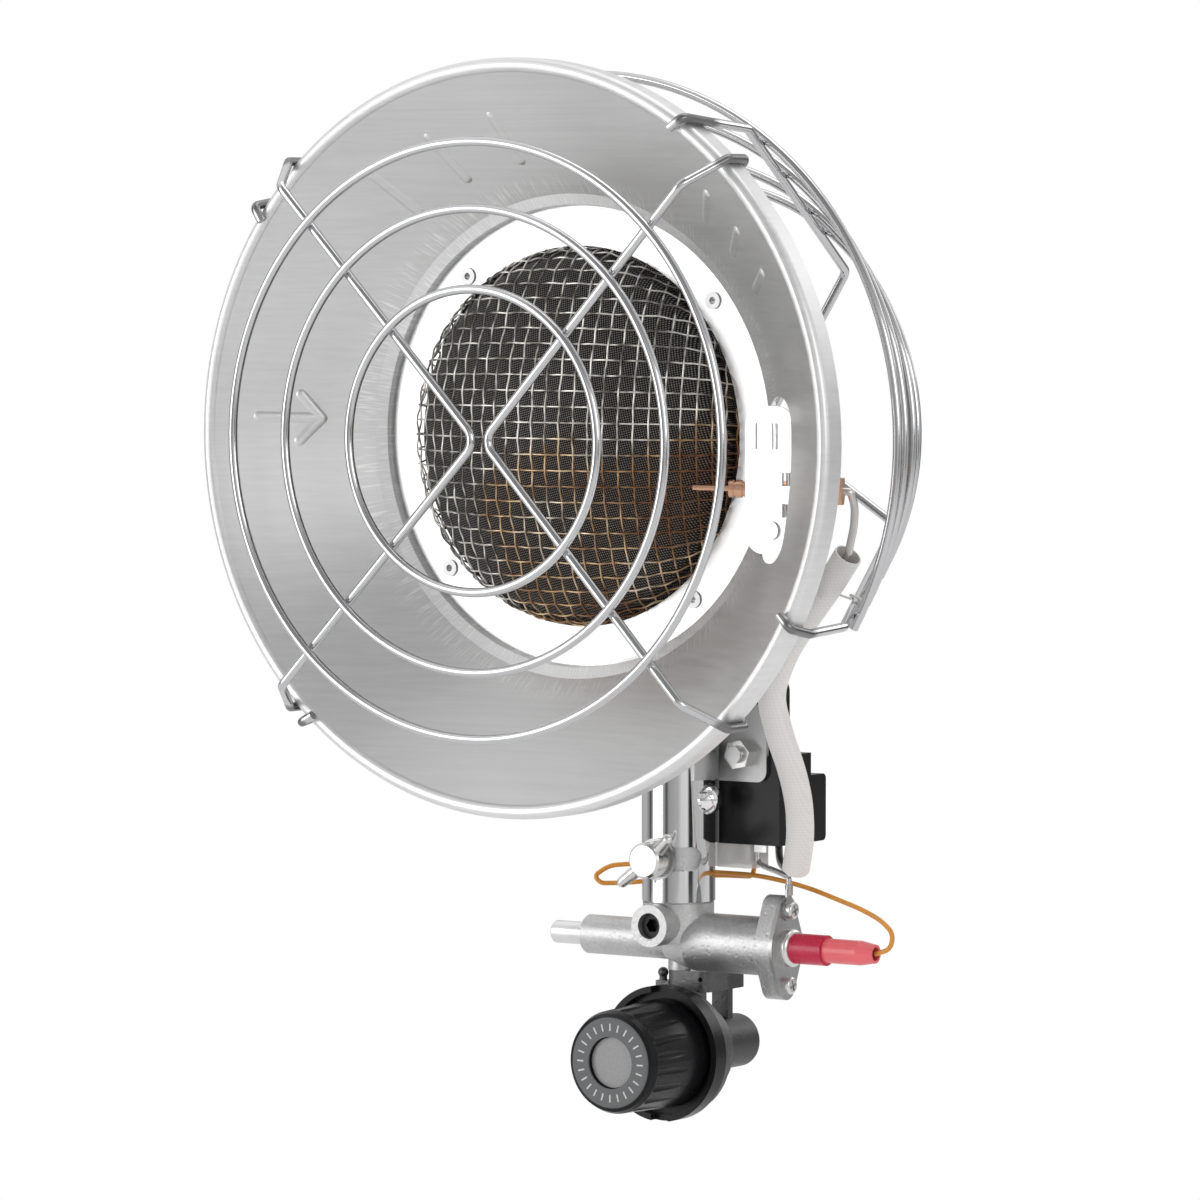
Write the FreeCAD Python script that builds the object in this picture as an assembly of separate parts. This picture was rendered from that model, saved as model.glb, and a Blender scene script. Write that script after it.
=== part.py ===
import FreeCAD, Part
import math
import os

# Portable propane heater head on its regulator, in millimetres.
# The origin is the centre of the gas inlet's mouth. +Z is up, the dish faces -Y and the inlet faces +Y.

# Reflector dish
DISH_R = 130.0
DISH_T = 0.8
SKIRT_DEPTH = 9.6
RIM_FOLD_R = 2.6
LIP_R = 84.0
LIP_DEPTH = 41.0
STEP_R = 80.3
SEAT_DEPTH = 47.0
SEAT_BORE_R = 70.4
BEAD_R = 2.6
BEAD_PROUD = 1.1
WINDOW_X = (79.0, 100.0)
WINDOW_Z = (-41.0, 15.0)

# Burner
RING_OUT_R = 79.2
RING_IN_R = 66.0
PLATE_T = 0.8
DOME_R = 66.7
DOME_H = 31.0
DOME_KNUCKLE_R = 20.0
DOME_T = 1.6
SCREEN_GAP = 1.0
SCREEN_T = 0.6
GASKET_T = 0.5
PAN_R = 64.0
PAN_FLANGE_R = 79.5
PAN_DEPTH = 16.0
RIVET_CIRCLE_R = 72.7
RIVET_HEAD_R = 3.0
RIVET_SHANK_R = 1.7
RIVET_EYE_R = 1.2
RIVET_TURN = 40.6
HOLE_CLEAR = 0.05

# Guards
WIRE_R = 1.6
WELD_SINK = 0.05
GUARD_PLANE = -15.9
GUARD_RING_R = (51.4, 78.7, 101.3)
GUARD_TURN = 46.2
GUARD_BEND_R = 119.6
GUARD_NOSE_X = (2.7, 0.0)
GUARD_NOSE_BEND = 6.0
HOOK_BEND = 2.3
HOOK_CLEAR = 0.15
HOOK_IN = 4.8
REAR_TURN = (54.6, -28.6)
REAR_SIDE_TURN = 87.0
REAR_LOW_TURN = 103.0
REAR_CORNER_R = 129.6
REAR_CORNER_DEPTH = 37.0
REAR_BACK_R = 69.4
REAR_BACK_DEPTH = 155.8
REAR_NOSE = 6.0
REAR_ARC_DEPTHS = (51.6, 78.1, 108.6, 125.6)
REAR_BEND = 5.0

# Column and swivel
HEAD_Z = 220.5
INLET_TO_RIM = 147.5
COLUMN_BACK = 108.4
TUBE_R = 13.1
TUBE_WALL = 1.15
TUBE_BOTTOM_Z = 54.0
TUBE_BEND_R = 40.0
COLLAR_T = 6.0
SLOT_Z = 69.5
SLOT_H = 8.5
SLOT_HALF_TURN = 54.0
SPIGOT_CLEAR = 0.05
COLUMN_RIVET_Z = 90.4
COLUMN_RIVET_R = 5.6
COLUMN_RIVET_SHANK_R = 2.0
COLUMN_RIVET_TAIL_R = 3.0

# Wing screw
SCREW_R = 3.0
SCREW_BORE_CLEAR = 0.05
WASHER_R = 7.5
WASHER_T = 2.6
WASHER_CLEAR = 0.3
HUB_R = 6.4
HUB_L = 6.8
WING_REACH = 12.5
WING_TURN = 40.0
WING_R = 2.0
WING_LEAN = 2.0

# Valve
VALVE_Z = 39.5
BARREL_R = 10.4
BARREL_END = 44.5
FLANGE_T = 6.0
NECK_R = 4.2
NECK_NUT_R = 5.2
NECK_X = -3.0
NECK_Y = -31.8
NECK_GAP = 0.8
BARREL_START = 8.0
LEFT_BARREL_R = 7.0
LEFT_BARREL_END = -38.0
JET_R = 4.0
BUTTON_R = 4.1
BUTTON_OUT = 15.0
BUTTON_BORE_STEP = -22.0
BUTTON_BORE_END = -6.0
BUTTON_SPRING_WIRE_R = 0.4
SPRING_END_GAP = 0.6
PORT_R = 7.5
PORT_BORE_R = 4.6
PORT_FACE = 19.1
PORT_LIFT = 6.6
PLATE_BOLT_Z = 13.3
PLATE_BOLT_R = 1.9
PLATE_SCREW_HEAD_R = 3.1
EAR_R = 5.2
RETAIN_T = 1.5
COLLAR_L = 3.6
INSULATOR_L = 13.0
TERMINAL_R = 3.0
TAG_TOP = 9.0

# Regulator
KNOB_R = 18.25
KNOB_BACK_R = 19.4
KNOB_FRONT_Y = -82.7
KNOB_BACK_Y = -48.9
KNOB_WALL = 2.6
FLUTES = 20
FLUTE_R = 2.1
KNOB_RECESS_R = 9.2
KNOB_RECESS_DEPTH = 2.5
BONNET_R = 24.2
BONNET_FRONT_Y = -51.5
BONNET_FLOOR_Y = -47.5
BONNET_BACK_Y = -45.0
BONNET_BARREL_R = 12.0
BONNET_BARREL_END = -70.0
CHAMBER_R = 10.0
DIAPHRAGM_T = 1.0
SEAT_T = 1.8
CASE_R = 22.5
CASE_FRONT_Y = -44.0
BOWL_R = 17.5
BOWL_END_Y = -30.0
INLET_BOSS_R = 9.6
INLET_BORE_R = 5.7
INLET_BORE_L = 14.0
FILTER_R = 4.4
FILTER_L = 2.0
PLATE_START_Y = -63.5
BLOCK_X = (-8.0, 10.0)
BLOCK_Y = (-36.0, -9.0)
LEG_Y = (-12.0, -9.0)
PIN_R = 1.9
PLATE_THICK = 2.0
SPINDLE_R = 2.6
SPRING_R = 6.6
SPRING_WIRE_R = 0.7

# Switch on the column
SWITCH_X = (6.0, 36.0)
SWITCH_Y = (-29.0, 2.0)
SWITCH_Z = (74.0, 106.0)
SWITCH_WALL = 1.6
TOWER_TOP = 134.0
BOLT_X = 21.6
BOLT_Z = 106.3
BOLT_R = 2.95
TOWER_Y = (-24.0, -10.0)
TOWER_X = (10.6, 31.0)
BOOT_X = (7.2, 24.5)
BOOT_Y = (-28.5, -16.0)
GROUND_TAB_X = (25.0, 30.0)
GROUND_TAB_Y = -27.8
BLOCK_TOP = 98.0
PIVOT_R = 1.0
BAND_T = 1.3

# Leads
SLEEVE_R = 4.9
SLEEVE_WALL = 0.5
LEAD_R = 0.85
PROBE_LEAD_R = 1.35
PROBE_R = 3.0
PROBE_TIP_R = 0.9
BRACKET_DEPTH = 32.0
BRACKET_T = 1.0

AXIS_Y = FreeCAD.Vector(0, 1, 0)
AXIS_X = FreeCAD.Vector(1, 0, 0)
AXIS_Z = FreeCAD.Vector(0, 0, 1)
COLUMN_Y = COLUMN_BACK - INLET_TO_RIM


def vec(x, y, z):
    return FreeCAD.Vector(x, y, z)


def head_point(radius, depth, turn):
    """A point at a radius and a turn about the dish axis, at a depth behind the rim's front."""
    angle = math.radians(turn)
    return vec(radius * math.cos(angle), depth - INLET_TO_RIM, HEAD_Z + radius * math.sin(angle))


def rod(start, end, radius):
    axis = end - start
    return Part.makeCylinder(radius, axis.Length, start, axis)


def pipe_piece(start, end, outer, inner):
    axis = end - start
    margin = FreeCAD.Vector(axis)
    margin.normalize()
    hole = Part.makeCylinder(inner, axis.Length + 2, start - margin, axis)
    return rod(start, end, outer).cut(hole)


def block(x, y, z):
    return Part.makeBox(x[1] - x[0], y[1] - y[0], z[1] - z[0], vec(x[0], y[0], z[0]))


def spun(points, centre_z):
    """Solid of revolution about a +Y axis, from (radius, y) points."""
    corners = [vec(radius, y, centre_z) for radius, y in points]
    outline = Part.Face(Part.makePolygon(corners + [corners[0]]))
    return outline.revolve(vec(0, 0, centre_z), AXIS_Y, 360)


def spun_head(points):
    """Solid of revolution about the dish axis, from (radius, depth) points."""
    return spun([(radius, depth - INLET_TO_RIM) for radius, depth in points], HEAD_Z)


def ring_plate(outer, inner, front, back):
    return spun_head([(inner, front), (outer, front), (outer, back), (inner, back)])


def arc_points(centre, radius, start, end, steps):
    """Points of an arc in the (radius, depth) plane."""
    points = []
    for step in range(steps + 1):
        angle = math.radians(start + (end - start) * step / steps)
        points.append((centre[0] + radius * math.cos(angle), centre[1] + radius * math.sin(angle)))
    return points


def route_edges(points, bends):
    """Straight runs joined by tangent arcs; bends gives each inner point's radius."""
    edges = []
    here = points[0]
    for index in range(1, len(points) - 1):
        corner = points[index]
        before = (points[index - 1] - corner).normalize()
        after = (points[index + 1] - corner).normalize()
        turn = math.pi - before.getAngle(after)
        reach = bends[index - 1] * math.tan(turn / 2)
        first = corner + before * reach
        last = corner + after * reach
        bisector = (before + after).normalize()
        centre = corner + bisector * (bends[index - 1] / math.cos(turn / 2))
        middle = centre - bisector * bends[index - 1]
        if (first - here).Length > 1e-4:
            edges.append(Part.LineSegment(here, first).toShape())
        edges.append(Part.Arc(first, middle, last).toShape())
        here = last
    edges.append(Part.LineSegment(here, points[-1]).toShape())
    return edges


def sweep(edges, radius):
    path = Part.Wire(edges)
    start = edges[0].valueAt(edges[0].FirstParameter)
    direction = edges[0].tangentAt(edges[0].FirstParameter)
    section = Part.Wire(Part.makeCircle(radius, start, direction))
    return path.makePipeShell([section], True, False)


def bent_wire(points, bends, radius=WIRE_R):
    return sweep(route_edges(points, bends), radius)


def coil(start, along, radius, pitch, length, wire_r):
    """Open coil spring from a start along an axis, as quarter turn arcs through its helix."""
    side = along.cross(AXIS_Z).normalize()
    up = along.cross(side)

    def helix(angle):
        out = side * math.cos(angle) + up * math.sin(angle)
        return start + out * radius + along * (pitch * angle / (2 * math.pi))

    edges = []
    quarter = math.pi / 2
    for index in range(int(4 * length / pitch)):
        angle = quarter * index
        edges.append(Part.Arc(helix(angle), helix(angle + quarter / 2), helix(angle + quarter)).toShape())
    return sweep(edges, wire_r)


def cord_bends(points):
    """Each bend as large as its two runs allow."""
    bends = []
    for index in range(1, len(points) - 1):
        before = points[index - 1] - points[index]
        after = points[index + 1] - points[index]
        turn = math.pi - before.getAngle(after)
        bends.append(0.45 * min(before.Length, after.Length) / math.tan(turn / 2))
    return bends


def lead(name, points, radius, bore=0.0):
    bends = cord_bends(points)
    edges = route_edges(points, bends)
    length = sum(edge.Length for edge in edges)
    print(name, "length", round(length, 1), "bend radii", [round(bend, 1) for bend in bends])
    solid = sweep(edges, radius)
    share = solid.Volume / (math.pi * radius ** 2 * length)
    print(name, "volume over section times length", round(share, 4))
    if bore > 0:
        solid = solid.cut(sweep(edges, bore))
    return solid


def export(name, shape):
    shape.exportStep("parts/" + name + ".step")
    solids = shape.Solids
    print(name, "solids", len(solids), "volume", round(sum(s.Volume for s in solids), 1), shape.isValid())


# Reflector and burner

def dish_profile(offset):
    """Rim fold, cone, lip, step and seat of the sheet, moved back by an offset."""
    slope = math.atan2(LIP_DEPTH - RIM_FOLD_R, DISH_R - 2 * RIM_FOLD_R - LIP_R)
    fold = RIM_FOLD_R - offset
    points = [(DISH_R - offset, SKIRT_DEPTH)]
    points += arc_points((DISH_R - RIM_FOLD_R, RIM_FOLD_R), fold, 0, -180 + math.degrees(slope) / 2, 10)
    lip = (LIP_R, LIP_DEPTH)
    points.append((lip[0] + offset * math.sin(slope), lip[1] + offset * math.cos(slope)))
    points.append((STEP_R + offset, LIP_DEPTH + 2.2 + offset * 0.3))
    points.append((STEP_R - 0.5 + offset, SEAT_DEPTH))
    if offset == 0:
        points.append((SEAT_BORE_R, SEAT_DEPTH))
    return points


def reflector_dish():
    front = dish_profile(0)
    back = dish_profile(DISH_T)
    seat = [(SEAT_BORE_R, SEAT_DEPTH + DISH_T), (back[-1][0], SEAT_DEPTH + DISH_T)]
    sheet = spun_head(front + seat + back[-2::-1])
    for start, end in bead_lines():
        sheet = sheet.fuse(pressed_bead(start, end))
    window = block(WINDOW_X, (10 - INLET_TO_RIM, SEAT_DEPTH - 1.1 - INLET_TO_RIM),
                   (WINDOW_Z[0] + HEAD_Z, WINDOW_Z[1] + HEAD_Z))
    rounded = [edge for edge in window.Edges if abs(edge.tangentAt(edge.FirstParameter).y) > 0.9]
    sheet = sheet.cut(window.makeFillet(9.0, rounded))
    for hole in rivet_holes(SEAT_DEPTH - 5, SEAT_DEPTH + 5):
        sheet = sheet.cut(hole)
    return sheet.removeSplitter()


def cone_point(share, turn, sink):
    """A point on the cone: share 0 at the rim fold, 1 at the lip, sunk behind its face."""
    start_r = DISH_R - 2 * RIM_FOLD_R
    slope = math.atan2(LIP_DEPTH - RIM_FOLD_R, start_r - LIP_R)
    radius = start_r + (LIP_R - start_r) * share + sink * math.sin(slope)
    depth = RIM_FOLD_R + (LIP_DEPTH - RIM_FOLD_R) * share + sink * math.cos(slope)
    return head_point(radius, depth, turn)


def bead_lines():
    """Ends of the plain pressed beads, as (share, turn) on the cone."""
    lines = []
    for turn in (98.0, 112.0, 126.0):
        lines.append(((0.32, turn), (0.70, turn)))
    for turn in (31.0, 40.0, 49.0):
        lines.append(((0.34, turn), (0.62, turn)))
    lines.append(((0.26, 177.0), (0.66, 177.0)))
    lines.append(((0.66, 177.0), (0.52, 172.5)))
    lines.append(((0.66, 177.0), (0.52, 181.5)))
    return lines


def pressed_bead(start, end):
    sink = BEAD_R - BEAD_PROUD
    first = cone_point(start[0], start[1], sink)
    last = cone_point(end[0], end[1], sink)
    capsule = rod(first, last, BEAD_R)
    capsule = capsule.fuse(Part.makeSphere(BEAD_R, first)).fuse(Part.makeSphere(BEAD_R, last))
    inside = BEAD_PROUD + 1
    start_r = DISH_R - 2 * RIM_FOLD_R
    slope = math.atan2(LIP_DEPTH - RIM_FOLD_R, start_r - LIP_R)
    zone = []
    for sink, share in ((-inside, 0.05), (-inside, 0.95), (DISH_T, 0.95), (DISH_T, 0.05)):
        radius = start_r + (LIP_R - start_r) * share + sink * math.sin(slope)
        depth = RIM_FOLD_R + (LIP_DEPTH - RIM_FOLD_R) * share + sink * math.cos(slope)
        zone.append((radius, depth))
    return capsule.common(spun_head(zone))


def rivet_holes(front, back):
    holes = []
    for index in range(4):
        turn = RIVET_TURN + 90 * index
        start = head_point(RIVET_CIRCLE_R, front, turn)
        end = head_point(RIVET_CIRCLE_R, back, turn)
        holes.append(rod(start, end, RIVET_SHANK_R + HOLE_CLEAR))
    return holes


def drilled(shape):
    for hole in rivet_holes(SEAT_DEPTH - 5, SEAT_DEPTH + 8):
        shape = shape.cut(hole)
    return shape


def burner_ring():
    return drilled(ring_plate(RING_OUT_R, RING_IN_R, SEAT_DEPTH - PLATE_T, SEAT_DEPTH))


def dome(base_r, height, thick, flange_r):
    """Domed screen with a crown, a rounded shoulder and a flat flange, in front of the seat."""
    knuckle = DOME_KNUCKLE_R - (DOME_R - base_r)
    centre_r = base_r - knuckle
    crown = (centre_r ** 2 + height ** 2 - knuckle ** 2) / (2 * (height - knuckle))
    tilt = math.degrees(math.atan2(crown - height, centre_r))
    outer = arc_points((centre_r, 0), knuckle, 0, tilt, 8)
    outer += arc_points((0, height - crown), crown, tilt, 90, 12)[1:]
    inner = arc_points((0, height - crown), crown - thick, 90, tilt, 12)
    inner += arc_points((centre_r, 0), knuckle - thick, tilt, 0, 8)[1:]
    points = [(radius, SEAT_DEPTH - rise) for radius, rise in outer + inner]
    points += [(base_r - thick, SEAT_DEPTH + DISH_T), (flange_r, SEAT_DEPTH + DISH_T)]
    points += [(flange_r, SEAT_DEPTH), (base_r, SEAT_DEPTH)]
    return spun_head(points)


def burner_dome():
    return dome(RING_IN_R - 0.1, DOME_H, DOME_T, SEAT_BORE_R - 0.2)


def inner_screen():
    gap = DOME_T + SCREEN_GAP
    base = RING_IN_R - 0.1 - gap
    front = SEAT_DEPTH + DISH_T
    shell = dome(base, DOME_H - gap, SCREEN_T, base - 0.1)
    flange = ring_plate(SEAT_BORE_R - 0.2, base - SCREEN_T, front, front + GASKET_T)
    return shell.fuse(flange).removeSplitter()


def burner_gasket():
    front = SEAT_DEPTH + DISH_T
    return drilled(ring_plate(PAN_FLANGE_R - 0.5, SEAT_BORE_R + 0.2, front, front + GASKET_T))


def pan_front():
    return SEAT_DEPTH + DISH_T + GASKET_T


def burner_pan():
    front = pan_front()
    wall = PLATE_T
    bore = TUBE_R + HOLE_CLEAR
    pan = spun_head([(PAN_R - wall, front), (PAN_FLANGE_R, front), (PAN_FLANGE_R, front + wall),
                     (PAN_R, front + wall), (PAN_R, front + PAN_DEPTH), (bore, front + PAN_DEPTH),
                     (bore, front + PAN_DEPTH - wall), (PAN_R - wall, front + PAN_DEPTH - wall)])
    pan = pan.fuse(ring_plate(TUBE_R + 2.2, bore, front + PAN_DEPTH - wall, front + PAN_DEPTH + COLLAR_T))
    post = bracket_post_place()
    tongue_start = head_point(PAN_R + 4, front, post[1])
    tongue_end = head_point(post[0], front, post[1])
    across = (tongue_end - tongue_start).normalize()
    side = across.cross(AXIS_Y)
    corners = [tongue_start + side * 6, tongue_end + side * 6, tongue_end - side * 6,
               tongue_start - side * 6]
    tongue = Part.Face(Part.makePolygon(corners + [corners[0]])).extrude(vec(0, wall, 0))
    tongue = tongue.fuse(Part.makeCylinder(6, wall, tongue_end, AXIS_Y))
    hole = Part.makeCylinder(1.6 + HOLE_CLEAR, 10, tongue_end - vec(0, 5, 0), AXIS_Y)
    return drilled(pan.fuse(tongue).removeSplitter().cut(hole))


def bracket_post_place():
    """Radius and turn of the post that carries the thermocouple bracket."""
    x = 88.0
    z = -30.0
    return math.hypot(x, z), math.degrees(math.atan2(z, x))


def rivets():
    solids = []
    head = SEAT_DEPTH - PLATE_T
    tail = pan_front() + PLATE_T
    for index in range(4):
        turn = RIVET_TURN + 90 * index
        places = [head_point(RIVET_CIRCLE_R, depth, turn) for depth in (head - 0.7, head, tail, tail + 0.7)]
        solid = rod(places[0], places[1], RIVET_HEAD_R)
        solid = solid.fuse(rod(places[1], places[2], RIVET_SHANK_R))
        solid = solid.fuse(rod(places[2], places[3], RIVET_HEAD_R - 0.3))
        eye = rod(places[0] - vec(0, 1, 0), places[3] + vec(0, 1, 0), RIVET_EYE_R)
        solids.append(solid.cut(eye).removeSplitter())
    return Part.makeCompound(solids)


# Guards

def hook_radius():
    return DISH_R + HOOK_CLEAR + WIRE_R


def guard_wire(side):
    """One front guard wire: two hooked arms that meet in a rounded nose near the axis."""
    points = []
    nose = GUARD_NOSE_X[0] if side > 0 else GUARD_NOSE_X[1]
    back = SKIRT_DEPTH + HOOK_CLEAR + WIRE_R
    outer = hook_radius()
    upper = GUARD_TURN if side > 0 else 180 - GUARD_TURN
    for turn in (upper, -upper):
        arm = [head_point(outer - HOOK_IN, back, turn), head_point(outer, back, turn),
               head_point(outer, 0.2, turn), head_point(GUARD_BEND_R, GUARD_PLANE, turn)]
        if turn == upper:
            points += arm
            points.append(vec(nose, GUARD_PLANE - INLET_TO_RIM, HEAD_Z))
        else:
            points += arm[::-1]
    bends = [HOOK_BEND, HOOK_BEND, 4.0, GUARD_NOSE_BEND, 4.0, HOOK_BEND, HOOK_BEND]
    return bent_wire(points, bends)


def guard_ring(radius):
    plane = GUARD_PLANE - 2 * WIRE_R + WELD_SINK
    return Part.makeTorus(radius, WIRE_R, vec(0, plane - INLET_TO_RIM, HEAD_Z), AXIS_Y)


def rear_support(turns):
    """One rear guard bow: hooks over the rim at both ends and meets in a nose behind."""
    back = SKIRT_DEPTH + HOOK_CLEAR + WIRE_R
    outer = hook_radius()
    front = -WIRE_R - HOOK_CLEAR
    points = []
    for order, turn in enumerate(turns):
        arm = [head_point(outer - 1.2 * HOOK_IN, front, turn + 2.2), head_point(outer, front, turn + 1.2),
               head_point(outer, back + 1.0, turn), head_point(REAR_CORNER_R, REAR_CORNER_DEPTH, turn),
               head_point(REAR_BACK_R, REAR_BACK_DEPTH, turn)]
        if order == 0:
            points += arm
            middle = math.radians((turns[0] + turns[1]) / 2)
            points.append(vec(REAR_NOSE * math.cos(middle), REAR_BACK_DEPTH - INLET_TO_RIM,
                              HEAD_Z + REAR_NOSE * math.sin(middle)))
        else:
            points += arm[::-1]
    bends = [HOOK_BEND, HOOK_BEND, REAR_BEND, REAR_BEND, 9.0, REAR_BEND, REAR_BEND, HOOK_BEND, HOOK_BEND]
    return bent_wire(points, bends)


def rear_turns():
    right = REAR_TURN
    left = (right[0] + REAR_SIDE_TURN, right[1] - REAR_LOW_TURN)
    return right, left


def rear_arc(depth):
    """One rear guard wire, welded outside the bows, open at the bottom."""
    share = (depth - REAR_CORNER_DEPTH) / (REAR_BACK_DEPTH - REAR_CORNER_DEPTH)
    radius = REAR_CORNER_R + (REAR_BACK_R - REAR_CORNER_R) * share
    slope = math.atan2(REAR_CORNER_R - REAR_BACK_R, REAR_BACK_DEPTH - REAR_CORNER_DEPTH)
    offset = 2 * WIRE_R - WELD_SINK
    radius += offset * math.cos(slope)
    depth += offset * math.sin(slope)
    right, left = rear_turns()
    start = min(right) - 2.0
    sweep_turn = 360 + min(left) + 2.0 - start
    centre = head_point(radius, depth, start)
    tangent = vec(-math.sin(math.radians(start)), 0, math.cos(math.radians(start)))
    section = Part.Face(Part.Wire(Part.makeCircle(WIRE_R, centre, tangent)))
    return section.revolve(vec(0, 0, HEAD_Z), vec(0, -1, 0), sweep_turn)


# Column and swivel

def tube_points():
    end_y = pan_front() + PAN_DEPTH - COLLAR_T - INLET_TO_RIM
    return [vec(0, COLUMN_Y, TUBE_BOTTOM_Z), vec(0, COLUMN_Y, HEAD_Z), vec(0, end_y, HEAD_Z)]


def column_tube():
    edges = route_edges(tube_points(), [TUBE_BEND_R])
    tube = sweep(edges, TUBE_R)
    tube = tube.cut(sweep(edges, TUBE_R - TUBE_WALL))
    rivet_hole = rod(rivet_place(0), rivet_place(TUBE_R + 1), COLUMN_RIVET_SHANK_R + HOLE_CLEAR)
    return tube.cut(swivel_slot()).cut(rivet_hole)


def rivet_place(x):
    return vec(x, COLUMN_Y, COLUMN_RIVET_Z)


def column_rivet():
    """Dome head on the column's side, with its tail inside the tube."""
    dome_head = Part.makeSphere(COLUMN_RIVET_R, rivet_place(TUBE_R - 1.2))
    column = rod(vec(0, COLUMN_Y, COLUMN_RIVET_Z - 10), vec(0, COLUMN_Y, COLUMN_RIVET_Z + 10), TUBE_R)
    tail = TUBE_R - TUBE_WALL - 0.5
    shank = rod(rivet_place(tail), rivet_place(TUBE_R + 1), COLUMN_RIVET_SHANK_R)
    end = rod(rivet_place(tail - 1), rivet_place(tail), COLUMN_RIVET_TAIL_R)
    return dome_head.cut(column).fuse(shank).fuse(end).removeSplitter()


def swivel_slot():
    low = SLOT_Z - SLOT_H / 2
    reach = TUBE_R + 3
    corners = [vec(0, COLUMN_Y, low)]
    steps = 12
    for step in range(steps + 1):
        angle = math.radians(-90 - SLOT_HALF_TURN + 2 * SLOT_HALF_TURN * step / steps)
        corners.append(vec(reach * math.cos(angle), COLUMN_Y + reach * math.sin(angle), low))
    slot = Part.Face(Part.makePolygon(corners + [corners[0]])).extrude(vec(0, 0, SLOT_H))
    for side in (-1, 1):
        angle = math.radians(-90 + side * SLOT_HALF_TURN)
        out = vec(math.cos(angle), math.sin(angle), 0)
        slot = slot.fuse(Part.makeCylinder(SLOT_H / 2, reach, vec(0, COLUMN_Y, SLOT_Z), out))
    return slot


def wing_place(y):
    return vec(0, y, SLOT_Z)


def washer_back():
    return COLUMN_Y - TUBE_R - WASHER_CLEAR


def wing_washers():
    back = washer_back()
    flat = pipe_piece(wing_place(back), wing_place(back - WASHER_T / 2), WASHER_R, SCREW_R + 0.05)
    lock = pipe_piece(wing_place(back - WASHER_T / 2), wing_place(back - WASHER_T), WASHER_R - 1.4,
                      SCREW_R + 0.05)
    return flat.fuse(lock)


def wing_screw():
    seat = washer_back() - WASHER_T - 0.05
    face = seat - HUB_L
    shank = rod(wing_place(COLUMN_Y - 3), wing_place(seat), SCREW_R)
    hub = rod(wing_place(seat), wing_place(face), HUB_R)
    hub = hub.makeChamfer(0.9, [edge for edge in hub.Edges if edge.Closed and edge.CenterOfMass.y < face + 1])
    solid = shank.fuse(hub)
    for side in (0, 180):
        angle = math.radians(WING_TURN + side)
        out = vec(math.cos(angle), 0, math.sin(angle))
        root = wing_place(seat - HUB_L * 0.5) + out * (HUB_R - 2.0)
        tip = wing_place(seat - HUB_L * 0.5 - WING_LEAN) + out * WING_REACH
        solid = solid.fuse(Part.makeCone(WING_R + 0.5, WING_R, (tip - root).Length, root, tip - root))
        solid = solid.fuse(Part.makeSphere(WING_R, tip))
    return solid.removeSplitter()


# Valve

def neck_point(z):
    return vec(NECK_X, NECK_Y, z)


def valve_point(x, y=0.0, z=0.0):
    return vec(x, COLUMN_Y + y, VALVE_Z + z)


def block_top():
    """Top of the regulator's neck block, just under the valve's barrel."""
    return VALVE_Z - BARREL_R - NECK_GAP


def flange_web(x, thick):
    """Lozenge whose sides touch the barrel's circle and the two ear circles."""
    cosine = (BARREL_R - EAR_R) / PLATE_BOLT_Z
    sine = math.sqrt(1 - cosine ** 2)
    near = (BARREL_R * sine, BARREL_R * cosine)
    far = (EAR_R * sine, PLATE_BOLT_Z + EAR_R * cosine)
    corners = []
    for y, z in ((1, 1), (1, -1), (-1, -1), (-1, 1)):
        pair = (far, near) if y * z > 0 else (near, far)
        corners += [valve_point(x, y * across, z * up) for across, up in pair]
    corners.append(corners[0])
    return Part.Face(Part.makePolygon(corners)).extrude(vec(thick, 0, 0))


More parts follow.
